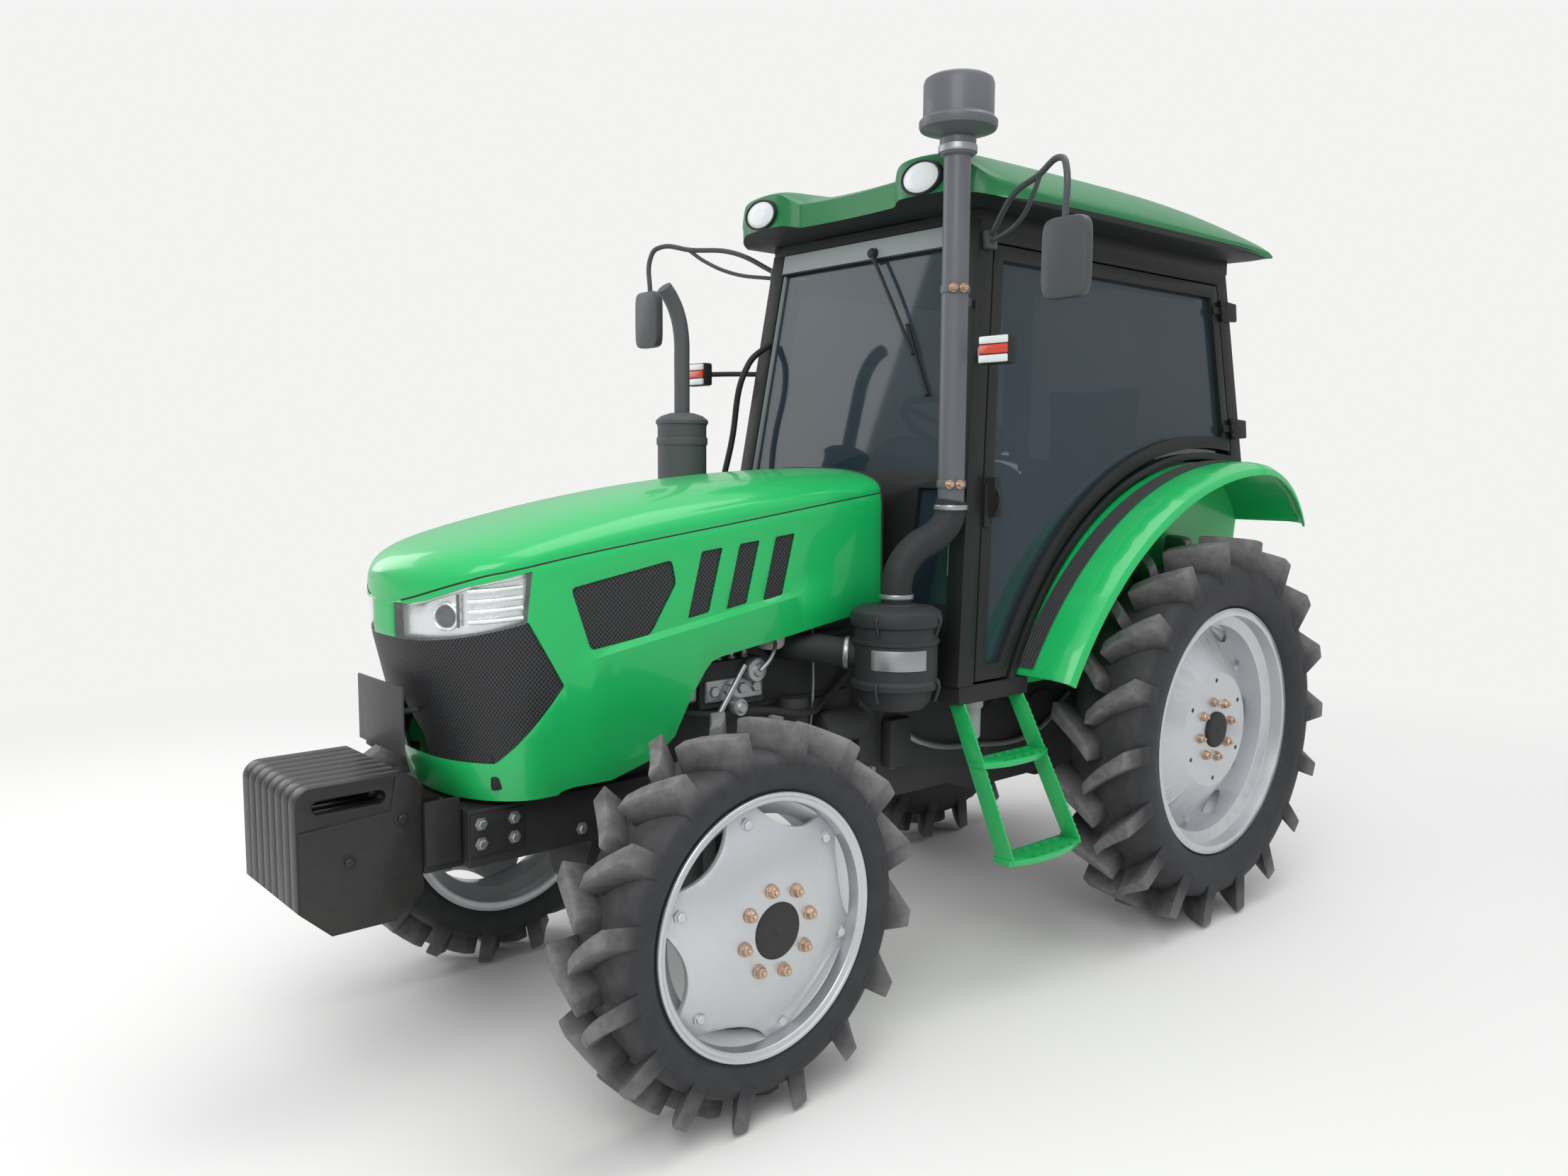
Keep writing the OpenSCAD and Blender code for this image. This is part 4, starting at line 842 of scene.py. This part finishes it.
edge_x = hood_back - 2
edge_points = [at(edge_x, y, z) for y, z in edge_half] + [at(edge_x, 0, 1599)]
edge_points += [at(edge_x, -y, z) for y, z in edge_half[::-1]]
fit(tube("hood_rear_edging", edge_points, 7), "hood", "dark_plastic", black_hose)
lines = []
gap_xs = [hood_back + 2 + 62 * i for i in range(19)]
gap_xs += [nose_start + nose_long * math.sin(math.radians(5 * i)) for i in range(1, 16)]
for side in (1, -1):
    lines.append(tube("top_gap", [at(x, side * (half_width(x) - 5.5),
                                     seam(x) - 3.5 - 30 * max(0, (x - nose_start) / nose_long) ** 6)
                                  for x in gap_xs], 4.2))
    # the thin black line along the lower side crease is painted shadow of the crease, not a gap
    lines.append(tube("crease_shadow_line", [at(x, side * (skirt(x, z) + 0.2), z) for x, z in
                                       [(2452, 858), (2380, 905), (2290, 950), (2240, 965), (2165, 978)]], 2))
    lines.append(tube("chin_gap", [at(2622 - 0.1837 * (1200 - z), side * (skirt(2622, z) + 0.2), z)
                                   for z in (800, 850, 900)], 2))
    lines.append(cut_box("chin_latch", (2532, side * 245 - 9, 812), (2566, side * 245 + 9, 846), 5))
fit(joined("hood_gaps_and_crease_shadow", lines), "hood", "dark_plastic", black_plastic)


# Grille
# Black woven-wire mesh behind the openings of the hood, in diamonds too fine to show at true size,
# so they are drawn 9 mm apart. Two stand-offs hold a blank grey plate before it.
mesh_wire, tree, shader, place = start_material("black_wire_mesh", "#2E2F31", 0.5, 0.3)
cut = add(tree, "ShaderNodeSeparateXYZ", {"Vector": place})
far = add(tree, "ShaderNodeMath", {0: cut.outputs["Y"]}, operation="ABSOLUTE")
run = add(tree, "ShaderNodeMath", {0: cut.outputs["X"], 1: far.outputs[0]}, operation="SUBTRACT")
flat = add(tree, "ShaderNodeCombineXYZ", {"X": run.outputs[0], "Y": cut.outputs["Z"]})
tilted = add(tree, "ShaderNodeMapping", {"Vector": flat.outputs[0], "Rotation": (0, 0, math.radians(45))})
cells = add(tree, "ShaderNodeTexVoronoi", {"Vector": tilted.outputs[0], "Scale": 1 / 0.009,
                                           "Randomness": 0.0},
            voronoi_dimensions="2D")
hole = add(tree, "ShaderNodeMapRange", {"Value": cells.outputs["Distance"], "From Min": 0.34,
                                        "From Max": 0.44})
tone = add(tree, "ShaderNodeMix", {"Factor": hole.outputs[0], "A": linear("#0E0F10"), "B": linear("#3E3F42")},
           data_type="RGBA")
tree.links.new(tone.outputs["Result"], shader.inputs["Base Color"])
bump = add(tree, "ShaderNodeBump", {"Height": hole.outputs[0], "Strength": 0.6, "Distance": 0.003})
tree.links.new(bump.outputs[0], shader.inputs["Normal"])
mesh = trimmed(hood_sheet("grille_mesh", 4, 3), "INTERSECT", openings)
smooth(30)
fit(mesh, "hood", "dark_plastic", mesh_wire, "hood_grille")
# Grey enamel on flat sheet: even, with a low satin gloss.
plate_enamel = paint("plate_grey_enamel", "#434444", "#3B3C3C", 0.42, 0.1)
plate = cut_box("blank_plate", (2736, -134, 905), (2743.5, 134, 1074), 2)
posts = [tube("plate_post", [at(2664, 60 * side, 1000), at(2737, 60 * side, 1000)], 7.5, straight=True)
         for side in (1, -1)]
fit(joined("blank_plate", [plate] + posts), "hood", "dark_plastic", plate_enamel)

# Headlamps
# Clear polycarbonate lenses let into the hood over a bright tray. The front half holds a round projector,
# the rear half four plated strips, with a dark post between them.
clear_lens, tree, shader, place = start_material("clear_polycarbonate", "#E9EEF0", 0.06)
streak = add(tree, "ShaderNodeTexNoise", {"Vector": place, "Scale": 60.0, "Detail": 2.0})
seen = add(tree, "ShaderNodeMapRange", {"Value": streak.outputs["Fac"], "To Min": 0.04, "To Max": 0.1})
tree.links.new(seen.outputs[0], shader.inputs["Alpha"])
shader.inputs["Coat Weight"].default_value = 0.6
lens = trimmed(hood_sheet("headlamp_lenses", 1, 3), "INTERSECT", lamp_holes)
smooth(30)
fit(lens, "hood", "lamp_clear", clear_lens, "hood_lamps")
# Vacuum-plated plastic: the brightest metal on the machine, slightly milky.
plated = paint("bright_plating", "#F1F3F4", "#E3E6E8", 0.24, 0.0, metallic=0.8, peel=0.05, top=0.3)
tray = trimmed(hood_sheet("headlamp_trays", 24, 2), "INTERSECT", lamp_holes)
smooth(30)
strips, rings, domes, posts = [], [], [], []
for side in (1, -1):
    for i in range(4):
        z = 1234 + 25 * i
        strips.append(tube("lamp_strip", [at(x, side * half_width(x, 10), z + (2620 - x) * 0.07)
                                          for x in (2506, 2545, 2585, 2622)], 6))
    middle, facing = at(2657, side * 203, 1247), (0.82, 0.57 * side, 0)
    rings.append(turned("lamp_ring", [(24, -14), (27, 2), (31, 6), (35, 4), (36, -2), (36, -14)], middle,
                        facing, 48))
    domes.append(turned("lamp_dome", [(0, 6), (10, 5), (18, 2), (24, -4), (26, -10)], middle, facing, 48))
    posts.append(tube("lamp_post", [at(2640, side * half_width(2640, 9), z) for z in (1222, 1260, 1302)], 4))
fit(joined("headlamp_trays", [tray] + strips + rings), "hood", "rim_silver", plated)
smooth(32)
fit(joined("headlamp_domes", domes + posts), "hood", "dark_plastic", black_plastic)
for tool in (under, openings, lamp_holes):
    bpy.data.objects.remove(tool)


# Cab
# A welded frame of black square tube with bolted door frames of folded sheet. Light grey lining covers the
# roof ring and pillars inside, a rail follows the fender across each door, and one wiper hangs from the top.
cab_half, sill_z, side_lean = 590, 960, math.radians(4.7)
screen_x, screen_back, screen_high = 1233, 190, 1405
screen_lean = math.atan(screen_back / screen_high)


def side_at(x, out, w, side):
    # a point on the leaning cab side: along, out from it and up it
    c, s = math.cos(side_lean), math.sin(side_lean)
    return at(x, side * (cab_half + out * c - w * s), sill_z + w * c + out * s)


def front_at(y, v, out):
    # a point on the leaning windscreen: across, up it and out from it
    c, s = math.cos(screen_lean), math.sin(screen_lean)
    return at(screen_x + out * c - v * s, y, sill_z + out * s + v * c)


def front_pillar(w):
    return 1165 - screen_back * w / screen_high


def rear_pillar(w):
    return -395 + 75 * (w - 640) / 730


def side_patch(name, corners, depth, side, edge):
    # a flat piece on the cab side, from its face out to a depth
    return sheet_of(name, [side_at(x, 1, w, side) for x, w in corners],
                    side_at(0, depth, 0, side) - side_at(0, 1, 0, side), edge)


for name in ["cab_floor", "cab_frame", "left_door_frame", "right_door_frame"]:
    dressed(name, black_enamel, "black_paint", 3)
# Foam-backed lining: light grey and matt, with a fine stipple.
lining = paint("light_grey_lining", "#8E9698", "#838B8D", 0.7, 0.0, peel=0.8, top=0.2)
panels = [cut_box("head_lining", (-318, -408, 2366), (962, 408, 2380), 4)]
panels.append(sheet_of("front_header", [front_at(-418, 1339, 0.5), front_at(418, 1339, 0.5),
                                        front_at(413, 1402, 0.5),
                                        front_at(-413, 1402, 0.5)], front_at(0, 0, 3) - front_at(0, 0, 0)))
for side in (1, -1):
    panels.append(cut_box("side_lining", (-300, side * 398 - 6, 2235), (955, side * 398 + 6, 2370), 3))
    trim = [side_at(front_pillar(w) + dx, -60, w, side)
            for w, dx in [(330, 12), (330, 66), (1330, 62), (1330, 12)]]
    panels.append(sheet_of("pillar_lining", trim, Vector((0, -0.008 * side, 0))))
    trim = [side_at(rear_pillar(w) + dx, -60, w, side)
            for w, dx in [(660, -60), (660, -4), (1330, -4), (1330, -60)]]
    panels.append(sheet_of("rear_pillar_lining", trim, Vector((0, -0.008 * side, 0))))
panels.append(tube("screen_bar", [front_at(-380, 1270, -60), front_at(0, 1262, -62),
                                  front_at(380, 1270, -60)], 9))
fit(joined("cab_lining", panels), "chassis", "rim_silver", lining)

for side, word in ((1, "left"), (-1, "right")):
    bits = []
    for w in (800, 1240):
        x = rear_pillar(w)
        bits.append(side_patch("hinge_leaf", [(x - 104, w - 34), (x - 26, w - 38), (x - 26, w + 38),
                                              (x - 104, w + 34)], 15, side, 5))
    fit(joined(word + "_hinge_blocks", bits), "chassis", "dark_plastic", black_plastic)
    rail = []
    for turn in (30, 36, 44, 54, 64, 74, 82):
        c, s = math.cos(math.radians(turn)), math.sin(math.radians(turn))
        rail.append(side_at(-200 + 1432 * c, -48, -655 + 1432 * s, side))
    fit(tube(word + "_door_rail", rail, 7), word + "_door", "link_steel", bright_steel)
    lock = [side_patch("lock_plate", [(1062, 470), (1092, 470), (1078, 600), (1046, 600)], 9, side, 3),
            tube("door_pull", [side_at(1066, 6, 505, side), side_at(1064, 32, 512, side),
                               side_at(1056, 32, 585, side), side_at(1054, 6, 592, side)], 6)]
    fit(joined(word + "_door_lock", lock), word + "_door", "dark_plastic", black_plastic)

arm = tube("wiper_arm", [front_at(40, 1352, 16), front_at(150, 1190, 14), front_at(262, 1010, 4)], 6)
blade = tube("wiper_blade", [front_at(212, 1110, -9), front_at(262, 1010, -8), front_at(330, 880, -9)], 7)
pivot = turned("wiper_pivot", [(0, 22), (12, 22), (16, 16), (16, 2), (26, 0)], front_at(40, 1354, 2),
               (1, 0, 0.13), 32)
fit(joined("wiper", [arm, blade, pivot]), "chassis", "dark_plastic", black_plastic)
hoop = [front_at(-470, 360, 6), front_at(-500, 420, 70), front_at(-505, 760, 80), front_at(-470, 1010, 70),
        front_at(-445, 1090, 6)]
fit(tube("right_grab_hoop", hoop, 11), "chassis", "black_paint", black_enamel)

# Cab windows
# Tinted safety glass bonded to the frame. It is floated sheet, flat but for a faint waviness,
# and lets some light through.
slate_glass, tree, shader, place = start_material("slate_tinted_glass", "#2B3A42", 0.04)
shader.inputs["Alpha"].default_value = 0.68
wave = add(tree, "ShaderNodeTexNoise", {"Vector": place, "Scale": 3.0, "Detail": 1.0})
bump = add(tree, "ShaderNodeBump", {"Height": wave.outputs["Fac"], "Strength": 0.03, "Distance": 0.002})
tree.links.new(bump.outputs[0], shader.inputs["Normal"])
tint = add(tree, "ShaderNodeMix", {"Factor": wave.outputs["Fac"], "A": linear("#27363E"),
                                   "B": linear("#30404A")},
           data_type="RGBA")
tree.links.new(tint.outputs["Result"], shader.inputs["Base Color"])
for name in ["cab_glass", "left_door_glass", "right_door_glass"]:
    for hole in frame["nodes"][name].material_slots:
        hole.material = slate_glass

# Roof
# A deep vacuum-formed and painted shell with a raised pod at each front corner for the work lamps.
# Its faces that look down are split off as the soffit and given the near-black plastic.
# Dark green enamel on formed plastic: a satin gloss, deeper than the hood's.
roof_enamel = paint("dark_green_enamel", "#14723E", "#116235", 0.4, 0.2)
roof = dressed("roof", roof_enamel, "roof_green", 7, quads=2)
pick_only(roof)
bpy.ops.object.mode_set(mode="EDIT")
bpy.ops.mesh.select_mode(type="FACE")
bpy.ops.mesh.select_all(action="DESELECT")
bpy.ops.object.mode_set(mode="OBJECT")
# what looks down becomes the soffit
for face in roof.data.polygons:
    face.select = face.normal.z < -0.4
bpy.ops.object.mode_set(mode="EDIT")
bpy.ops.mesh.separate(type="SELECTED")
bpy.ops.mesh.select_mode(type="VERT")
bpy.ops.object.mode_set(mode="OBJECT")
soffit = [o for o in bpy.context.selected_objects if o is not roof][0]
soffit.name = "roof_soffit"
fit(soffit, "chassis", "dark_plastic", black_plastic)

# Roof lamps and indicators
# Oval work lamps with ribbed lenses in the roof pods, and white-red-white indicators in black cases
# on short stalks from the pillars.
# Ribbed clear glass over a reflector: a milky white with a hard gloss.
lens_white = paint("frosted_lamp_lens", "#DDE0E2", "#CDD2D5", 0.22, 0.5, peel=0.9, top=0.2)
# Red acrylic: deep colour under a hard gloss.
lens_red = paint("red_indicator_lens", "#D0330F", "#BB2A0C", 0.25, 0.5, top=0.2)


def stretched(obj, middle, factors):
    # drawn out about a point by a factor along each axis
    obj.data.transform(Matrix.Translation(middle) @ Matrix.Diagonal(factors) @ Matrix.Translation(-middle))
    return obj


lenses, case_and_shade_parts, reds = [], [], []
for side in (1, -1):
    middle = at(1194, 372 * side, 2468)
    lenses.append(turned("work_lens", [(0, 13), (20, 12.5), (34, 10), (43, 5), (45, 0)],
                         middle, (1, 0, 0), 64))
    # a black ring round each work lamp lens: painted shade for the shadow between the lens and the green roof
    case_and_shade_parts.append(turned("work_lamp_shade_ring", [(45, -14), (45, 6), (47, 8), (50, 6), (50, -14)],
                        middle, (1, 0, 0), 64))
    for round_piece in (lenses[-1], case_and_shade_parts[-1]):
        stretched(round_piece, middle, (1, 1.6, 1, 1))
    case_and_shade_parts.append(cut_box("indicator_case", (1197, side * 696 - 55, 1899), (1236, side * 696 + 55, 1981), 8))
    case_and_shade_parts.append(tube("indicator_stalk", [at(1075, 520 * side, 1940), at(1130, 590 * side, 1942),
                                          at(1212, 668 * side, 1940)], 9))
    for z in (1914, 1966):
        lenses.append(cut_box("indicator_white", (1232, side * 696 - 50, z - 11),
                              (1243, side * 696 + 50, z + 11), 4))
    reds.append(cut_box("indicator_red", (1232, side * 696 - 50, 1927), (1244, side * 696 + 50, 1953), 4))
    lenses.append(side_patch("marker", [(1048, 962), (1084, 962), (1084, 1008), (1048, 1008)], 8, side, 2))
fit(joined("lamp_lenses", lenses), "chassis", "lamp_clear", lens_white, "lamps")
fit(joined("lamp_cases_and_shade_rings", case_and_shade_parts), "chassis", "dark_plastic", black_plastic)
fit(joined("indicator_reds", reds), "chassis", "lamp_clear", lens_red)


# Fenders
# Green pressed-steel fenders bolted to the cab and the axle housing. A strip of ribbed black rubber
# runs along the crest between the inner band and the rolled outer lip.
dressed("fenders", green_enamel, "green_paint", 3)
arch_x, arch_z, arch_radius = -200, 307, 1325
tail_z, tail_radius = 1252, 380
strips = []
for side in (1, -1):
    bpy.ops.object.select_all(action="DESELECT")
    bpy.ops.mesh.primitive_grid_add(x_subdivisions=110, y_subdivisions=12, size=2)
    strip = bpy.context.object
    strip.name = "fender_strip"
    for v in strip.data.vertices:
        along, across = (v.co.x + 1) / 2, round((v.co.y + 1) * 6)
        turn = math.radians(31 + 116 * along)
        high = 6 if across % 2 else 2.5
        y = side * (572 + across * 5.4)
        r, z = (arch_radius, arch_z) if turn <= math.pi / 2 else (tail_radius, tail_z)
        v.co = at(arch_x + (r + high) * math.cos(turn), y, z + (r + high) * math.sin(turn))
    bpy.ops.object.mode_set(mode="EDIT")
    bpy.ops.mesh.select_all(action="SELECT")
    bpy.ops.mesh.normals_make_consistent(inside=False)
    bpy.ops.object.mode_set(mode="OBJECT")
    wall = strip.modifiers.new("wall", "SOLIDIFY")
    wall.thickness = 0.0025
    wall.offset = -1
    bpy.ops.object.modifier_apply(modifier="wall")
    smooth(30)
    strips.append(strip)
fit(joined("fender_strips", strips), "chassis", "dark_plastic", black_hose)


# Steps
# Flat green bars with serrated edges carry two treads under each door.
# The treads are sheet with a bowed front and two rows of punched holes, welded to the bars.
def flat_bar(name, a, b, wide, thick):
    along = Vector(b) - Vector(a)
    across = Vector((1, 0, 0)).cross(along).normalized()
    normal = along.cross(across).normalized()
    corners = [Vector(a) - across * wide / 2, Vector(a) + across * wide / 2, Vector(b) + across * wide / 2,
               Vector(b) - across * wide / 2]
    return sheet_of(name, [at(*(c - normal * thick / 2)) for c in corners], normal * thick / 1000, 2)


made = []
for side in (1, -1):
    for a, b in (((924, 559, 904), (778, 691, 422)), ((1200, 559, 904), (1112, 691, 422))):
        a, b = (a[0], side * a[1], a[2]), (b[0], side * b[1], b[2])
        made.append(flat_bar("step_bar", a, b, 58, 8))
        run = Vector(b) - Vector(a)
        reach = Vector((1, 0, 0)).cross(run).normalized() * 28
        reach = reach if reach.y * side > 0 else -reach
        tooth = [Vector(a) + run * (0.06 + 0.02 * i) + reach * (1.1 if i % 2 else 0.97) for i in range(47)]
        made.append(tube("step_teeth", [at(*p) for p in tooth], 4, straight=True, rings=1))
    for low, high in (((772, 642, 420), (1122, 744, 440)), ((862, 582, 715), (1176, 679, 735))):
        ends = sorted((low[1] * side, high[1] * side))
        bow = [(low[0] + (high[0] - low[0]) * i / 16, side * (high[1] - 34 * abs(i / 8 - 1) ** 2.4), low[2])
               for i in range(17)]
        tread = slab("tread", [(low[0], side * low[1], low[2])] + bow + [(high[0], side * low[1], low[2])],
                     (0, 0, 20), 4)
        holes = []
        for i in range(1, 6):
            for j in range(2):
                x = low[0] + (high[0] - low[0]) * (i + 0.5 + 0.25 * (j - 0.5)) / 7.4
                y = ends[0] + (ends[1] - ends[0]) * (j + 0.5) / 2
                holes.append(turned("tread_hole", [(0, -30), (15, -30), (15, 30), (0, 30)],
                                    at(x, y, low[2] + 10), (0, 0, 1), 16))
        tool = joined("tread_holes", holes)
        made.append(trimmed(tread, "DIFFERENCE", tool))
        bpy.data.objects.remove(tool)
steps = joined("step_frames", made)
smooth(35)
fit(steps, "chassis", "green_paint", green_enamel, "steps")

# Sediment filter
# A pale glass bowl screwed under a cast head, hung below the cab floor by the left step.
bowl_x, bowl_y = 1030, 470
bowl = [turned("sediment_bowl", [(0, 748), (8, 748), (12, 752), (24, 758), (30, 768), (31, 856), (28, 862)],
               at(bowl_x, bowl_y, 0), (0, 0, 1), 48),
        turned("sediment_head", [(28, 858), (36, 860), (38, 866), (38, 892), (32, 898), (22, 908), (0, 908)],
               at(bowl_x, bowl_y, 0), (0, 0, 1), 48)]
bowls = joined("sediment_filter", bowl)
smooth(35)
fit(bowls, "chassis", "rim_silver", filter_white)

# Mirrors
# Dark plastic heads on bent double tubes clamped to the front pillars; the glass faces the rear.
arms, glasses = [], []
z = 2385
for side in (1, -1):
    arms.append(tube("mirror_arm", [at(1020, 502 * side, z - 78), at(1100, 640 * side, z),
                                    at(1180, 792 * side, z + 20), at(1246, 918 * side, z + 34),
                                    at(1258, 940 * side, z + 10), at(1262, 945 * side, z - 135)], 9))
    arms.append(tube("mirror_stay", [at(1020, 502 * side, z - 100), at(1090, 660 * side, z - 70),
                                     at(1150, 752 * side, z - 22), at(1185, 802 * side, z + 20)], 7))
    arms.append(side_patch("mirror_bracket", [(994, 1307), (1040, 1307), (1040, 1363), (994, 1363)],
                           25, side, 5))
    ends = sorted((881 * side, 1025 * side))
    turns = [(math.cos(math.pi * i / 24), math.sin(math.pi * i / 24)) for i in range(48)]
    rounded = [(1245, 953 * side + math.copysign(72 * abs(c) ** 0.36, c),
                z - 229 + math.copysign(105 * abs(s) ** 0.36, s)) for c, s in turns]
    arms.append(slab("mirror_head", rounded, (34, 0, 0), 8))
    arms.append(turned("mirror_knuckle", [(0, 16), (12, 15), (17, 8), (17, -14), (0, -16)],
                       at(1262, 945 * side, z - 140), (0, 0, 1), 32))
    glasses.append(cut_box("mirror_glass", (1242.5, ends[0] + 14, z - 320), (1246, ends[1] - 14, z - 138), 1))
# Moulded ABS: dark grey with a soft sheen on a fine grain.
mirror_plastic = paint("mirror_grey_plastic", "#4A4D50", "#3F4245", 0.38, 0.0, peel=0.35)
mirror_set = joined("mirror_heads", arms)
smooth(35)
fit(mirror_set, "chassis", "dark_plastic", mirror_plastic, "mirrors")
# Silvered glass: a clear mirror image.
silvered = paint("silvered_glass", "#C8CDD0", "#C0C6C9", 0.03, 0.3, metallic=0.95, peel=0.0, top=0.2)
fit(joined("mirror_glasses", glasses), "chassis", "rim_silver", silvered)

# Dashboard and steering wheel
# A moulded console with a black cowl behind the windscreen, a paler instrument hood over the column,
# and a foam-rimmed steering wheel with three spokes.
dressed("dashboard", black_plastic, "dark_plastic", 14)
cowl_middle, dome_middle = at(1000, 0, 1535), at(850, 0, 1525)
cowl = turned("dash_cowl", [(0, 118), (75, 113), (137.5, 98), (195, 72), (232.5, 40), (250, 0), (250, -30)],
              cowl_middle, (0, 0, 1), 64)
stretched(cowl, cowl_middle, (0.42, 1, 1, 1))
smooth(40)
fit(cowl, "chassis", "dark_plastic", black_plastic)
# Moulded ABS: pale grey and dull.
hood_pale = paint("pale_grey_plastic", "#A9B7BD", "#9DABB2", 0.55, 0.0, peel=0.4, top=0.2)
dome = turned("instrument_hood", [(0, 190), (60, 184), (110, 164), (152, 128), (178, 80), (186, 20),
                                  (186, -60)],
              dome_middle, (0, 0, 1), 64)
stretched(dome, dome_middle, (0.5, 1, 1, 1))
smooth(40)
fit(dome, "chassis", "dark_plastic", hood_pale)
# Skinned foam: dark grey, matt, with a leather-like grain.
wheel_foam = paint("steering_wheel_foam", "#55595C", "#494C4F", 0.6, 0.0, peel=0.9, top=0.2)
dressed("steering_wheel", wheel_foam, "dark_plastic", 2, angle=50)

# Seat
# A sprung seat covered in black vinyl over foam: a square cushion and a tall back on a boxed suspension.
dressed("seat_base", black_plastic, "dark_plastic", 8)
# Vinyl on foam: near black, a low sheen broken by an embossed grain.
seat_vinyl = paint("seat_vinyl", "#303236", "#26282B", 0.52, 0.0, peel=0.9, top=0.2)


voxel, swelling_frames, swelling_limit = 0.006, 20, 22


def stuffed(obj, most):
    # foam under vinyl: cloth pressure swells the block,
    # and no point moves further than a limit in millimetres
    pick_only(obj)
    obj.data.remesh_voxel_size = voxel
    bpy.ops.object.voxel_remesh()
    start = [v.co.copy() for v in obj.data.vertices]
    foam = obj.modifiers.new("foam", "CLOTH")
    foam.settings.use_pressure = True
    foam.settings.uniform_pressure_force = 4
    foam.settings.effector_weights.gravity = 0
    for step in range(1, swelling_frames + 1):
        bpy.context.scene.frame_set(step)
    bpy.ops.object.modifier_apply(modifier="foam")
    bpy.context.scene.frame_set(1)
    for v, home in zip(obj.data.vertices, start):
        moved = v.co - home
        if moved.length > most / 1000:
            v.co = home + moved.normalized() * most / 1000
    return obj


pads = []
for name, low, high in (("seat_cushion", (-200, -220, 1336), (250, 220, 1408)),
                        ("seat_back", (-290, -210, 1448), (-206, 210, 1930))):
    pad = cut_box(name, low, high, 26, 4)
    pads.append(stuffed(pad, swelling_limit))
seat = joined("seat_pads", pads)
bpy.ops.object.shade_smooth()
fit(seat, "chassis", "seat_cover", seat_vinyl, "seat")

# Fuel tank
# A blow-moulded black tank slung under the floor on the right, held by two straps.
dressed("fuel_tank", black_plastic, "dark_plastic", 20)
straps = [cut_box("tank_strap", (x, -453, 587), (x + 36, -213, 893), 3) for x in (480, 860)]
fit(joined("tank_straps", straps), "chassis", "black_paint", black_enamel)
cap = turned("tank_cap", [(0, 34), (30, 34), (40, 30), (44, 22), (44, 4), (38, 0), (38, -10), (0, -10)],
             at(640, -390, 890), (0, 0, 1), 32)
smooth(30)
fit(cap, "chassis", "dark_plastic", black_plastic)

# Rear linkage
# Forged arms and links, painted black, on plated pins; the drawbar is a flat bar under the transmission.
# Black paint on forgings: dull, with a little scale under it.
link_iron = paint("link_black_paint", "#2A2B2C", "#202122", 0.5, 0.05)
for name in ["lower_links", "lift_arms", "lift_rods", "top_link", "drawbar"]:
    dressed(name, link_iron, "link_steel", 3)
